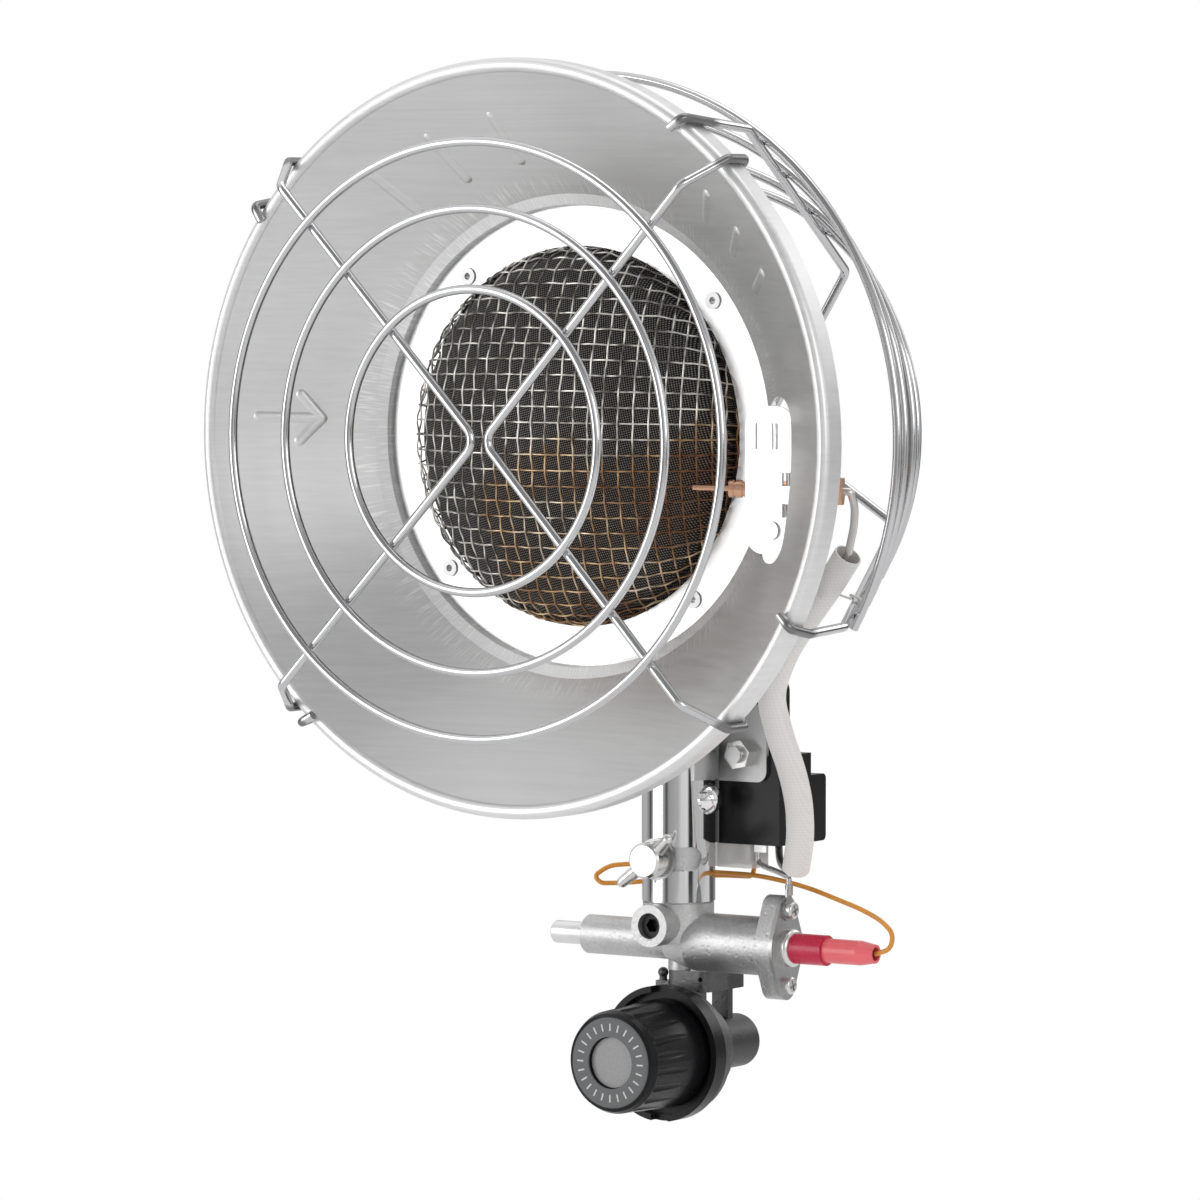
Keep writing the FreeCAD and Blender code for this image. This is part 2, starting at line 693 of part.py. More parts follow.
def valve_body():
    spigot_r = TUBE_R - TUBE_WALL - SPIGOT_CLEAR
    body = rod(valve_point(0), vec(0, COLUMN_Y, SLOT_Z + SLOT_H / 2 + 6), spigot_r)
    body = body.fuse(rod(valve_point(0), vec(0, COLUMN_Y, TUBE_BOTTOM_Z - 0.6), TUBE_R - 0.4))
    body = body.fuse(rod(valve_point(LEFT_BARREL_END), valve_point(0), LEFT_BARREL_R))
    body = body.fuse(rod(valve_point(BARREL_START), valve_point(BARREL_END), BARREL_R))
    body = body.fuse(Part.makeCone(LEFT_BARREL_R, BARREL_R, BARREL_START + 3, valve_point(-3), AXIS_X))
    body = body.fuse(rod(valve_point(0, 0, PORT_LIFT), valve_point(0, -PORT_FACE, PORT_LIFT), PORT_R))
    body = body.fuse(rod(neck_point(block_top()), neck_point(VALVE_Z), NECK_R))
    body = body.fuse(rod(neck_point(block_top()), neck_point(block_top() + 3.6), NECK_NUT_R))
    body = body.fuse(block((2.5, BLOCK_X[1] - 1), (BLOCK_Y[0] + 1, NECK_Y + 8),
                           (block_top() + 0.05, VALVE_Z)))
    for side in (-1, 1):
        ear = rod(valve_point(BARREL_END - FLANGE_T, 0, side * PLATE_BOLT_Z),
                  valve_point(BARREL_END, 0, side * PLATE_BOLT_Z), EAR_R)
        body = body.fuse(ear)
    body = body.fuse(flange_web(BARREL_END - FLANGE_T, FLANGE_T))
    body = body.cut(rod(valve_point(6), valve_point(BARREL_END + 1), BARREL_R - 2.3))
    body = body.cut(rod(valve_point(-6), valve_point(7), 2.2))
    body = body.cut(rod(valve_point(LEFT_BARREL_END - 1), valve_point(BUTTON_BORE_END), BUTTON_R + 0.05))
    port = rod(valve_point(0, -6, PORT_LIFT), valve_point(0, -PORT_FACE - 1, PORT_LIFT), PORT_BORE_R)
    body = body.cut(port)
    jet_base = SLOT_Z + SLOT_H / 2
    body = body.cut(rod(valve_point(0), vec(0, COLUMN_Y, jet_base + 7), 1.6))
    body = body.cut(rod(vec(0, COLUMN_Y, jet_base), vec(0, COLUMN_Y, jet_base + 7), JET_R + 0.05))
    screw_end = wing_place(COLUMN_Y - TUBE_R - 2)
    body = body.cut(rod(wing_place(COLUMN_Y - 2.5), screw_end, SCREW_R + SCREW_BORE_CLEAR))
    for side in (-1, 1):
        hole = rod(valve_point(BARREL_END - 6, 0, side * PLATE_BOLT_Z),
                   valve_point(BARREL_END + 1, 0, side * PLATE_BOLT_Z), PLATE_BOLT_R + HOLE_CLEAR)
        body = body.cut(hole)
    body = body.cut(rod(neck_point(block_top() - 1), neck_point(VALVE_Z - 3), 2.0))
    return body.removeSplitter()


def gas_jet():
    base = SLOT_Z + SLOT_H / 2
    jet = rod(vec(0, COLUMN_Y, base), vec(0, COLUMN_Y, base + 9), JET_R)
    jet = jet.fuse(Part.makeCone(3.4, 1.6, 5, vec(0, COLUMN_Y, base + 9), AXIS_Z))
    return jet.cut(rod(vec(0, COLUMN_Y, base - 1), vec(0, COLUMN_Y, base + 15), 0.5))


def port_plug():
    face = valve_point(0, -PORT_FACE + 2.4, PORT_LIFT)
    plug = rod(valve_point(0, -6.2, PORT_LIFT), face, PORT_BORE_R - HOLE_CLEAR)
    corners = []
    for step in range(7):
        angle = math.radians(60 * step)
        corners.append(face + vec(2.6 * math.cos(angle), -1, 2.6 * math.sin(angle)))
    socket = Part.Face(Part.makePolygon(corners)).extrude(vec(0, 4.5, 0))
    return plug.cut(socket)


def safety_button():
    """Push button with its rod: the face, the guide and the stem to the magnet's disc."""
    face = valve_point(LEFT_BARREL_END - BUTTON_OUT)
    button = rod(face, valve_point(BUTTON_BORE_STEP), BUTTON_R)
    rounded = [edge for edge in button.Edges if edge.Closed and abs(edge.CenterOfMass.x - face.x) < 0.1]
    button = button.makeFillet(1.0, rounded)
    return button.fuse(rod(valve_point(BUTTON_BORE_STEP), valve_point(8.4), 1.4)).removeSplitter()


def button_spring():
    start = BUTTON_BORE_STEP + SPRING_END_GAP
    length = BUTTON_BORE_END - SPRING_END_GAP - start
    return coil(valve_point(start), AXIS_X, 2.5, 2.0, length, BUTTON_SPRING_WIRE_R)


def terminal_start():
    """Where the insulator on the magnet's terminal starts."""
    return BARREL_END + RETAIN_T + COLLAR_L


def magnet_unit():
    """Magnet in the barrel with its terminal stem, which ends inside the clear sleeve."""
    core = rod(valve_point(16), valve_point(BARREL_END), BARREL_R - 2.3 - HOLE_CLEAR)
    stem = terminal_start() + INSULATOR_L
    core = core.fuse(rod(valve_point(BARREL_END), valve_point(stem - 2), TERMINAL_R))
    return core.fuse(rod(valve_point(BARREL_END), valve_point(stem + 12), 1.5)).removeSplitter()


def magnet_disc():
    """Rubber faced armature disc that the button's stem pushes against the magnet."""
    disc = rod(valve_point(8.8), valve_point(11.0), BARREL_R - 2.3 - 1.2)
    return disc.fuse(rod(valve_point(11.0), valve_point(11.0 + 0.8), 2.4)).removeSplitter()


def retaining_plate():
    x = (BARREL_END, BARREL_END + RETAIN_T)
    plate = rod(valve_point(x[0]), valve_point(x[1]), BARREL_R)
    for side in (-1, 1):
        plate = plate.fuse(rod(valve_point(x[0], 0, side * PLATE_BOLT_Z),
                               valve_point(x[1], 0, side * PLATE_BOLT_Z), EAR_R))
    plate = plate.fuse(flange_web(x[0], RETAIN_T))
    plate = plate.cut(rod(valve_point(x[0] - 1), valve_point(x[1] + 1), TERMINAL_R + HOLE_CLEAR))
    for side in (-1, 1):
        plate = plate.cut(rod(valve_point(x[0] - 1, 0, side * PLATE_BOLT_Z),
                              valve_point(x[1] + 1, 0, side * PLATE_BOLT_Z), PLATE_BOLT_R + HOLE_CLEAR))
    return plate.removeSplitter()


def plate_screws():
    solids = []
    seat = BARREL_END + RETAIN_T
    for side in (-1, 1):
        z = side * PLATE_BOLT_Z
        lift = 0.0 if side < 0 else 0.8
        screw = rod(valve_point(BARREL_END - 5, 0, z), valve_point(seat + lift, 0, z), PLATE_BOLT_R)
        head = rod(valve_point(seat + lift, 0, z), valve_point(seat + lift + 2.4, 0, z), PLATE_SCREW_HEAD_R)
        rounded = [edge for edge in head.Edges if edge.Closed and edge.CenterOfMass.x > seat + lift + 1]
        head = head.makeFillet(0.9, rounded)
        for turn in (0, 90):
            angle = math.radians(turn + 20)
            along = vec(0, math.cos(angle), math.sin(angle))
            across = vec(0, -math.sin(angle), math.cos(angle))
            middle = valve_point(seat + lift + 1.2, 0, z)
            corners = [middle + along * a * 1.9 + across * b * 0.45
                       for a, b in ((-1, -1), (1, -1), (1, 1), (-1, 1), (-1, -1))]
            head = head.cut(Part.Face(Part.makePolygon(corners)).extrude(vec(3, 0, 0)))
        solids.append(screw.fuse(head).removeSplitter())
    return Part.makeCompound(solids)


def magnet_collar():
    seat = BARREL_END + RETAIN_T
    collar = pipe_piece(valve_point(seat), valve_point(seat + COLLAR_L), 6.8, TERMINAL_R + HOLE_CLEAR)
    rounded = [edge for edge in collar.Edges
               if edge.Closed and edge.CenterOfMass.x > seat + 3 and edge.BoundBox.YLength > 10]
    return collar.makeFillet(1.5, rounded)


def terminal_insulator():
    start = terminal_start()
    return pipe_piece(valve_point(start), valve_point(start + INSULATOR_L), 5.4, TERMINAL_R + 0.1)


def terminal_sleeve():
    start = terminal_start() + INSULATOR_L
    tube = pipe_piece(valve_point(start), valve_point(start + 14), 4.35, 3.4)
    tip = Part.makeCone(4.35, 3.3, 6, valve_point(start + 14), AXIS_X)
    tip = tip.cut(Part.makeCone(3.4, 2.4, 6, valve_point(start + 14), AXIS_X))
    return tube.fuse(tip)


def ring_terminal():
    seat = BARREL_END + RETAIN_T
    tag = rod(valve_point(seat, 0, PLATE_BOLT_Z), valve_point(seat + 0.8, 0, PLATE_BOLT_Z), 3.9)
    arm = block((seat, seat + 0.8), (COLUMN_Y - 1.6, COLUMN_Y + 1.6),
                (VALVE_Z + PLATE_BOLT_Z, VALVE_Z + PLATE_BOLT_Z + 7.5))
    hole = rod(valve_point(seat - 1, 0, PLATE_BOLT_Z), valve_point(seat + 2, 0, PLATE_BOLT_Z),
               PLATE_BOLT_R + HOLE_CLEAR)
    low = valve_point(seat + 0.6, 0, PLATE_BOLT_Z + 5.4)
    barrel = rod(low, valve_point(seat + 0.6, 0, PLATE_BOLT_Z + TAG_TOP), 1.4)
    return tag.fuse(arm).cut(hole).fuse(barrel).removeSplitter()


# Regulator

def axis_point(y):
    return vec(0, y, 0)


def case_block_bottom():
    return block_top() - 7.5


def regulator_body():
    case = rod(axis_point(CASE_FRONT_Y), axis_point(CASE_FRONT_Y + 4.5), CASE_R)
    case = case.fuse(rod(axis_point(CASE_FRONT_Y), axis_point(BOWL_END_Y), BOWL_R))
    case = case.fuse(Part.makeCone(BOWL_R, INLET_BOSS_R, 6, axis_point(BOWL_END_Y), AXIS_Y))
    boss = rod(axis_point(BOWL_END_Y), axis_point(0), INLET_BOSS_R)
    case = case.fuse(boss.makeFillet(0.8, [e for e in boss.Edges if e.Closed and e.CenterOfMass.y > -1]))
    top = block(BLOCK_X, BLOCK_Y, (case_block_bottom(), block_top()))
    upright = [edge for edge in top.Edges if abs(edge.tangentAt(edge.FirstParameter).z) > 0.9]
    case = case.fuse(top.makeFillet(4, upright))
    case = case.fuse(block((-6, 6), (CASE_FRONT_Y, BOWL_END_Y), (BOWL_R - 4, case_block_bottom() + 1)))
    case = case.fuse(block((-3.5, 3.5), LEG_Y, (INLET_BOSS_R - 3, case_block_bottom() + 1)))
    case = case.cut(rod(axis_point(CASE_FRONT_Y - 20), axis_point(CASE_FRONT_Y), BONNET_R + 0.3))
    case = case.fuse(block((BLOCK_X[0] - 4.5, BLOCK_X[0] + 1), (BLOCK_Y[0] + 1, BLOCK_Y[0] + 6),
                           (case_block_bottom(), case_block_bottom() + 3.2)))
    pin = vec(BLOCK_X[0] - 2.4, BLOCK_Y[0] + 2.8, case_block_bottom() + 3)
    case = case.fuse(rod(pin, pin + vec(0, 0, 3), PIN_R - 0.5)).fuse(Part.makeSphere(PIN_R, pin + vec(0, 0, 3)))
    mark = vec(BLOCK_X[1] - 2.9, BLOCK_Y[0], block_top() - 2.9)
    case = case.cut(rod(mark - vec(0, 1, 0), mark + vec(0, 2, 0), 0.8))
    case = case.cut(rod(axis_point(CASE_FRONT_Y - 1), axis_point(CASE_FRONT_Y + 7), BOWL_R - 2))
    case = case.cut(rod(axis_point(CASE_FRONT_Y + 6), axis_point(1), 2.4))
    case = case.cut(rod(axis_point(-INLET_BORE_L), axis_point(1), INLET_BORE_R))
    filter_seat = rod(axis_point(-INLET_BORE_L - FILTER_L), axis_point(0), FILTER_R + HOLE_CLEAR)
    case = case.cut(filter_seat)
    outlet = neck_point(BOWL_R - 4)
    case = case.cut(rod(outlet - vec(0, 7, 0), outlet, 1.5)).cut(rod(outlet, neck_point(block_top() + 1), 2.0))
    return case.removeSplitter()


def inlet_filter():
    start = -INLET_BORE_L - FILTER_L
    return rod(axis_point(start), axis_point(-INLET_BORE_L), FILTER_R)


def diaphragm():
    """Rubber diaphragm with the spring's seat in its middle."""
    disc = rod(axis_point(CASE_FRONT_Y - DIAPHRAGM_T), axis_point(CASE_FRONT_Y), CASE_R - 1.2)
    seat = rod(axis_point(BONNET_BACK_Y - SEAT_T), axis_point(BONNET_BACK_Y), CHAMBER_R - 0.4)
    return disc.fuse(seat).removeSplitter()


def bonnet():
    cup = spun([(CHAMBER_R, BONNET_BACK_Y), (BONNET_R, BONNET_BACK_Y), (BONNET_R, BONNET_FRONT_Y),
                (BONNET_R - 2.2, BONNET_FRONT_Y), (BONNET_R - 2.2, BONNET_FLOOR_Y),
                (BONNET_BARREL_R, BONNET_FLOOR_Y), (BONNET_BARREL_R, BONNET_BARREL_END),
                (CHAMBER_R, BONNET_BARREL_END)], 0)
    for z in (-BONNET_R, BONNET_R - 6):
        cup = cup.cut(block((-3.6, 3.6), (BONNET_FRONT_Y - 1, BONNET_FLOOR_Y - 0.8), (z - 1, z + 7)))
    return cup.removeSplitter()


def spring_plate():
    plate = rod(axis_point(PLATE_START_Y), axis_point(PLATE_START_Y + PLATE_THICK), CHAMBER_R - 0.1)
    return plate.cut(rod(axis_point(PLATE_START_Y - 1), axis_point(PLATE_START_Y + 4), SPINDLE_R + 0.05))


def regulator_spring():
    start = PLATE_START_Y + PLATE_THICK + SPRING_WIRE_R
    length = BONNET_BACK_Y - SEAT_T - SPRING_WIRE_R - start
    return coil(axis_point(start), AXIS_Y, SPRING_R, 3.2, length, SPRING_WIRE_R)


def knob():
    front = KNOB_FRONT_Y
    back = KNOB_BACK_Y
    round_r = 3.0
    inside = KNOB_BACK_R - KNOB_WALL
    depth = BONNET_BARREL_END - 1.0
    shell = spun([(SPINDLE_R, depth), (inside - 1.0, depth), (inside, back), (KNOB_BACK_R, back),
                  (KNOB_R, front + round_r), (KNOB_R - 0.9, front + 0.9), (KNOB_R - round_r, front),
                  (KNOB_RECESS_R, front), (KNOB_RECESS_R, front + KNOB_RECESS_DEPTH),
                  (SPINDLE_R, front + KNOB_RECESS_DEPTH)], 0)
    for index in range(FLUTES):
        angle = math.radians(360 / FLUTES * (index + 0.5))
        out = vec(math.cos(angle), 0, math.sin(angle))
        near = axis_point(front + 5.0) + out * (KNOB_R + 1.15)
        far = axis_point(back - 4.0) + out * (KNOB_BACK_R + 1.7)
        groove = Part.makeCone(FLUTE_R, FLUTE_R * 0.75, (far - near).Length, near, far - near)
        shell = shell.cut(groove.fuse(Part.makeSphere(FLUTE_R, near)))
    return shell


def knob_cap():
    base = KNOB_FRONT_Y + KNOB_RECESS_DEPTH
    return rod(axis_point(base), axis_point(base - 0.7), KNOB_RECESS_R - 0.3)


def spindle():
    """Threaded adjusting spindle that turns with the knob and moves the spring plate."""
    end = PLATE_START_Y + PLATE_THICK + 7.0
    return rod(axis_point(KNOB_FRONT_Y + KNOB_RECESS_DEPTH), axis_point(end), SPINDLE_R)


# Thermocouple, leads and switch

def probe_axis():
    tip = vec(58.6, 28.5 - INLET_TO_RIM, HEAD_Z - 16.0)
    end = vec(106.0, 50.0 - INLET_TO_RIM, HEAD_Z - 17.0)
    along = (end - tip).normalize()
    return tip, end, along


def thermocouple_probe():
    tip, end, along = probe_axis()
    neck = tip + along * 12.5
    solid = rod(tip, neck, PROBE_TIP_R)
    solid = solid.fuse(rod(neck, end - along * 0.5, PROBE_R))
    for place in (1.6, 4.6):
        start = neck + along * place
        solid = solid.cut(pipe_piece(start, start + along * 0.9, PROBE_R + 1, PROBE_R - 0.5))
    return solid.removeSplitter()


def probe_nut():
    _, end, along = probe_axis()
    start = end - along * 5.5
    side = along.cross(AXIS_Z).normalize()
    up = side.cross(along).normalize()
    corners = []
    for step in range(7):
        angle = math.radians(60 * step)
        corners.append(start + side * (5.2 * math.cos(angle)) + up * (5.2 * math.sin(angle)))
    nut = Part.Face(Part.makePolygon(corners)).extrude(along * 5)
    return nut.cut(rod(start - along, start + along * 6, PROBE_R + 0.05))


def thermocouple_bracket():
    y = (BRACKET_DEPTH - INLET_TO_RIM, BRACKET_DEPTH + BRACKET_T - INLET_TO_RIM)
    z = (HEAD_Z - 38.0, HEAD_Z + 12.0)
    plate = block((77.5, 97.0), y, z)
    corner = [edge for edge in plate.Edges if abs(edge.tangentAt(edge.FirstParameter).y) > 0.9]
    plate = plate.makeFillet(7.0, corner)
    tip, end, along = probe_axis()
    hole_x = tip.x + along.x / along.y * ((y[1] + 8) - tip.y)
    web = block((hole_x + 6.5, hole_x + 7.5), (y[1] - 0.2, y[1] + 15.0), (HEAD_Z - 24, HEAD_Z - 9))
    plate = plate.fuse(web)
    plate = plate.cut(rod(tip, end + along * 5, PROBE_R + 0.1))
    plate = plate.cut(block((81.6, 90.6), (y[0] - 1, y[1] + 1), (HEAD_Z - 2.6, HEAD_Z + 6.2)))
    for low in (-12.6, -23.2):
        plate = plate.cut(block((92.3, 96.0), (y[0] - 1, y[1] + 1), (HEAD_Z + low - 2.3, HEAD_Z + low + 2.3)))
    radius, turn = bracket_post_place()
    plate = plate.cut(rod(head_point(radius, 0, turn), head_point(radius, 60, turn), 1.6 + HOLE_CLEAR))
    return plate.removeSplitter()


def bracket_post():
    """Rivet and spacer that hold the bracket in front of the pan's tongue."""
    radius, turn = bracket_post_place()
    front = BRACKET_DEPTH
    places = [head_point(radius, depth, turn) for depth in
              (front - 0.9, front, front + BRACKET_T, pan_front(), pan_front() + PLATE_T,
               pan_front() + PLATE_T + 0.9)]
    post = rod(places[0], places[1], 3.2)
    post = post.fuse(rod(places[1], places[4], 1.6))
    post = post.fuse(rod(places[2], places[3], 3.0))
    return post.fuse(rod(places[4], places[5], 2.8)).removeSplitter()


def thermocouple_points():
    _, end, along = probe_axis()
    points = [end - along * 0.5, end + along * 2.0, vec(107.6, -93.6, 198.0), vec(105.2, -90.4, 191.0),
              vec(102.6, -88.6, 185.2)]
    points += sleeve_points()[:-1]
    points += [vec(55.2, -46.6, 71.2), vec(51.5, -41.5, 66.8), vec(46.0, -34.5, 65.6), vec(40.0, -28.5, 65.3),
               vec(34.5, -23.5, 65.8), vec(29.8, -18.9, 67.6), vec(27.5, -16.1, 73.9)]
    return points


def thermocouple_lead():
    return lead("thermocouple_lead", thermocouple_points(), PROBE_LEAD_R)


def sleeve_points():
    return [vec(101.5, -88, 181.5), vec(92.9, -86, 171.0), vec(82.0, -84.5, 159.0), vec(72.5, -84, 146.0),
            vec(66.5, -83, 132.5), vec(66.0, -76, 118.0), vec(65.5, -67, 105.2), vec(63.8, -59.5, 93.0),
            vec(59.6, -52, 80.0), vec(53.6, -45.5, 68.6)]


def lead_sleeve():
    return lead("lead_sleeve", sleeve_points(), SLEEVE_R, SLEEVE_R - SLEEVE_WALL)


def lead_tie():
    """Thin wire tie round the sleeve and the rear guard bow beside it."""
    points = sleeve_points()
    first = points[1] + (points[2] - points[1]) * 0.25
    right, _ = rear_turns()
    share = (first.y + INLET_TO_RIM - REAR_CORNER_DEPTH) / (REAR_BACK_DEPTH - REAR_CORNER_DEPTH)
    radius = REAR_CORNER_R + (REAR_BACK_R - REAR_CORNER_R) * share
    second = head_point(radius, first.y + INLET_TO_RIM, right[1])
    along = (second - first).normalize()
    near = SLEEVE_R + 1.4
    far = WIRE_R + 1.1
    wire_r = 0.45
    side = along.cross(AXIS_Y).normalize()
    points = [second - side * far - along * 0.5, second - side * far + along * far,
              second + side * far + along * far, second + side * far - along * far,
              first + along * (near + 1.5) + AXIS_Y * near, first - along * near + AXIS_Y * near,
              first - along * near - AXIS_Y * near, first + along * near * 0.6 - AXIS_Y * near]
    return bent_wire(points, [far - 0.2, far - 0.2, 1.2, 1.2, near - 0.6, near - 0.6], wire_r)


def switch_bracket():
    front = SWITCH_Y[0] - 1.5
    plate = block((11.3, 31.5), (front, SWITCH_Y[0] - 0.0), (96.5, 124.0))
    corner = [edge for edge in plate.Edges if abs(edge.tangentAt(edge.FirstParameter).y) > 0.9
              and edge.CenterOfMass.x > 30]
    plate = plate.makeFillet(4.0, corner)
    band = pipe_piece(vec(0, COLUMN_Y, 97.5), vec(0, COLUMN_Y, 123.0), TUBE_R + BAND_T, TUBE_R + 0.1)
    keep = block((0, 20), (COLUMN_Y - 8, COLUMN_Y + 20), (97, 124))
    plate = plate.fuse(band.common(keep))
    plate = plate.cut(rod(vec(0, COLUMN_Y, 90), vec(0, COLUMN_Y, 130), TUBE_R + 0.1))
    hole = rod(bolt_place(front - 1), bolt_place(SWITCH_Y[0] + 1), BOLT_R + HOLE_CLEAR)
    return plate.cut(hole).removeSplitter()


def bolt_place(y):
    return vec(BOLT_X, y, BOLT_Z)


def bracket_bolt():
    front = SWITCH_Y[0] - 1.5
    return rod(bolt_place(front - 6.5), bolt_place(SWITCH_Y[0] + 1.5), BOLT_R)


def bracket_nut():
    front = SWITCH_Y[0] - 1.5
    corners = []
    for step in range(7):
        angle = math.radians(60 * step + 12)
        corners.append(bolt_place(front) + vec(5.4 * math.cos(angle), 0, 5.4 * math.sin(angle)))
    nut = Part.Face(Part.makePolygon(corners)).extrude(vec(0, -4.2, 0))
    return nut.cut(rod(bolt_place(front - 6), bolt_place(front + 1), BOLT_R + HOLE_CLEAR))


def switch_housing():
    x = SWITCH_X
    y = SWITCH_Y
    main = block(x, (y[0], -8.0), SWITCH_Z)
    tower = block(TOWER_X, TOWER_Y, (SWITCH_Z[0], TOWER_TOP))
    crown = [edge for edge in tower.Edges if abs(edge.tangentAt(edge.FirstParameter).z) > 0.9
             or edge.CenterOfMass.z > TOWER_TOP - 1]
    tower = tower.makeFillet(6.0, crown)
    rear = block((x[0], x[1]), (-9.0, y[1]), (SWITCH_Z[0], BLOCK_TOP))
    rear = rear.makeFillet(2.0, [edge for edge in rear.Edges if edge.CenterOfMass.y > y[1] - 0.1
                                 and abs(edge.tangentAt(edge.FirstParameter).x) > 0.9])
    body = main.fuse(tower).fuse(rear)
    wall = SWITCH_WALL
    cavity = block((x[0] + wall, x[1] - wall), (y[0] + wall + 1.5, y[1] - wall),
                   (SWITCH_Z[0] + wall, BLOCK_TOP - wall))
    body = body.cut(cavity)
    bolt_hole = rod(bolt_place(y[0] - 1), bolt_place(y[0] + 1.6), BOLT_R + HOLE_CLEAR)
    column = rod(vec(0, COLUMN_Y, 60), vec(0, COLUMN_Y, 140), TUBE_R + BAND_T + 0.2)
    pivot = pendulum_pivot()
    pin = rod(vec(x[0] + 0.5, pivot.y, pivot.z), vec(x[1] - 0.5, pivot.y, pivot.z), PIVOT_R)
    return body.cut(bolt_hole).cut(column).fuse(pin).removeSplitter()


def pendulum_pivot():
    return vec(22.8, -13.5, 93.0)


def tip_pendulum():
    pivot = pendulum_pivot()
    eye = pipe_piece(pivot - vec(5, 0, 0), pivot + vec(5, 0, 0), 2.6, PIVOT_R + 0.05)
    arm = rod(pivot - vec(0, 0, 2.0), pivot - vec(0, 0, 9), 1.4)
    weight = rod(pivot - vec(0, 0, 7.5), pivot - vec(0, 0, 13.5), 5.2)
    weight = weight.makeFillet(1.0, [edge for edge in weight.Edges if edge.Closed])
    return eye.fuse(arm).fuse(weight).removeSplitter()


def clear_boot():
    x = BOOT_X
    y = BOOT_Y
    z = (65.4, SWITCH_Z[0])
    boot = block(x, y, z)
    upright = [edge for edge in boot.Edges if abs(edge.tangentAt(edge.FirstParameter).z) > 0.9]
    boot = boot.makeFillet(3.0, upright)
    hollow = block((x[0] + 1, x[1] - 1), (y[0] + 1, y[1] - 1), (z[0] - 1, z[1] + 1))
    column = rod(vec(0, COLUMN_Y, 60), vec(0, COLUMN_Y, 140), TUBE_R + BAND_T + 0.2)
    points = thermocouple_points()
    notch = sweep(route_edges(points[-7:], cord_bends(points)[-5:]), PROBE_LEAD_R + HOLE_CLEAR)
    return boot.cut(hollow).cut(column).cut(notch)


def switch_terminals():
    blades = []
    for x in (15.0, 21.5):
        blades.append(block((x - 0.4, x + 0.4), (-25.0, -20.0), (67.4, SWITCH_Z[0])))
    blades.append(block(GROUND_TAB_X, (GROUND_TAB_Y - 0.4, GROUND_TAB_Y + 0.4), (71.4, SWITCH_Z[0])))
    return Part.makeCompound(blades)


def orange_points():
    return [vec(82.4, COLUMN_Y, VALVE_Z), vec(88.6, COLUMN_Y + 0.2, 41.6), vec(89.4, COLUMN_Y + 0.4, 47.2),
            vec(84.0, -38.2, 51.4), vec(74.5, -36.0, 54.6), vec(63.0, -33.0, 57.0), vec(50.0, -29.0, 59.6),
            vec(37.5, -25.5, 61.2), vec(22.0, -22.6, 62.6), vec(4.0, -22.3, 62.6), vec(-13.0, -23.2, 63.4),
            vec(-27.0, -26.0, 64.4), vec(-36.5, -29.2, 63.4), vec(-41.5, -31.4, 59.6), vec(-39.0, -31.0, 57.0),
            vec(-29.0, -27.4, 57.4), vec(-12.0, -20.6, 59.8), vec(4.0, -17.6, 61.2), vec(13.5, -18.4, 61.4),
            vec(19.4, -20.4, 61.8), vec(21.5, -22.5, 66.3)]


def switch_lead():
    return lead("switch_lead", orange_points(), LEAD_R)


def ground_points():
    seat = BARREL_END + RETAIN_T
    start = vec(seat + 0.6, COLUMN_Y, VALVE_Z + PLATE_BOLT_Z + TAG_TOP + 0.05)
    end = vec(GROUND_TAB_X[0] + 1.1, GROUND_TAB_Y, 71.3)
    return [start, start + vec(0, -0.1, 2.6), vec(39.8, -35.2, 65.6), vec(31.4, -30.8, 66.6),
            vec(26.4, -28.0, 67.6), end]


def ground_lead():
    return lead("ground_lead", ground_points(), 1.0)


def main():
    os.makedirs("parts", exist_ok=True)
    export("reflector_dish", reflector_dish())
    export("burner_ring", burner_ring())
    export("burner_dome", burner_dome())
    export("inner_screen", inner_screen())
    export("burner_gasket", burner_gasket())
    export("burner_pan", burner_pan())
    export("burner_rivets", rivets())
    for name, radius in zip(("inner", "middle", "outer"), GUARD_RING_R):
        export("guard_ring_" + name, guard_ring(radius))
    export("guard_wire_right", guard_wire(1))
    export("guard_wire_left", guard_wire(-1))
    right, left = rear_turns()
    export("rear_bow_right", rear_support(right))
    export("rear_bow_left", rear_support(left))
    for index, depth in enumerate(REAR_ARC_DEPTHS):
        export("rear_hoop_" + str(index + 1), rear_arc(depth))
    export("column_tube", column_tube())
    export("column_rivet", column_rivet())
    export("wing_washers", wing_washers())
    export("wing_screw", wing_screw())
    export("valve_body", valve_body())
    export("gas_jet", gas_jet())
    export("port_plug", port_plug())
    export("safety_button", safety_button())
    export("button_spring", button_spring())
    export("magnet_unit", magnet_unit())
    export("armature_disc", magnet_disc())
    export("retaining_plate", retaining_plate())
    export("plate_screws", plate_screws())
    export("magnet_collar", magnet_collar())
    export("terminal_insulator", terminal_insulator())
    export("terminal_sleeve", terminal_sleeve())
    export("ring_terminal", ring_terminal())
    export("regulator_body", regulator_body())
    export("inlet_filter", inlet_filter())
    export("diaphragm", diaphragm())
    export("bonnet", bonnet())
    export("spring_plate", spring_plate())
    export("regulator_spring", regulator_spring())
    export("control_knob", knob())
    export("knob_cap", knob_cap())
    export("adjusting_spindle", spindle())
    export("thermocouple_probe", thermocouple_probe())
    export("probe_nut", probe_nut())
    export("thermocouple_bracket", thermocouple_bracket())
    export("bracket_post", bracket_post())
    export("thermocouple_lead", thermocouple_lead())
    export("lead_sleeve", lead_sleeve())
    export("lead_tie", lead_tie())
    export("switch_bracket", switch_bracket())
    export("bracket_bolt", bracket_bolt())
    export("bracket_nut", bracket_nut())
    export("switch_housing", switch_housing())
    export("tip_pendulum", tip_pendulum())
    export("clear_boot", clear_boot())
    export("switch_terminals", switch_terminals())
    export("switch_lead", switch_lead())
    export("ground_lead", ground_lead())


main()
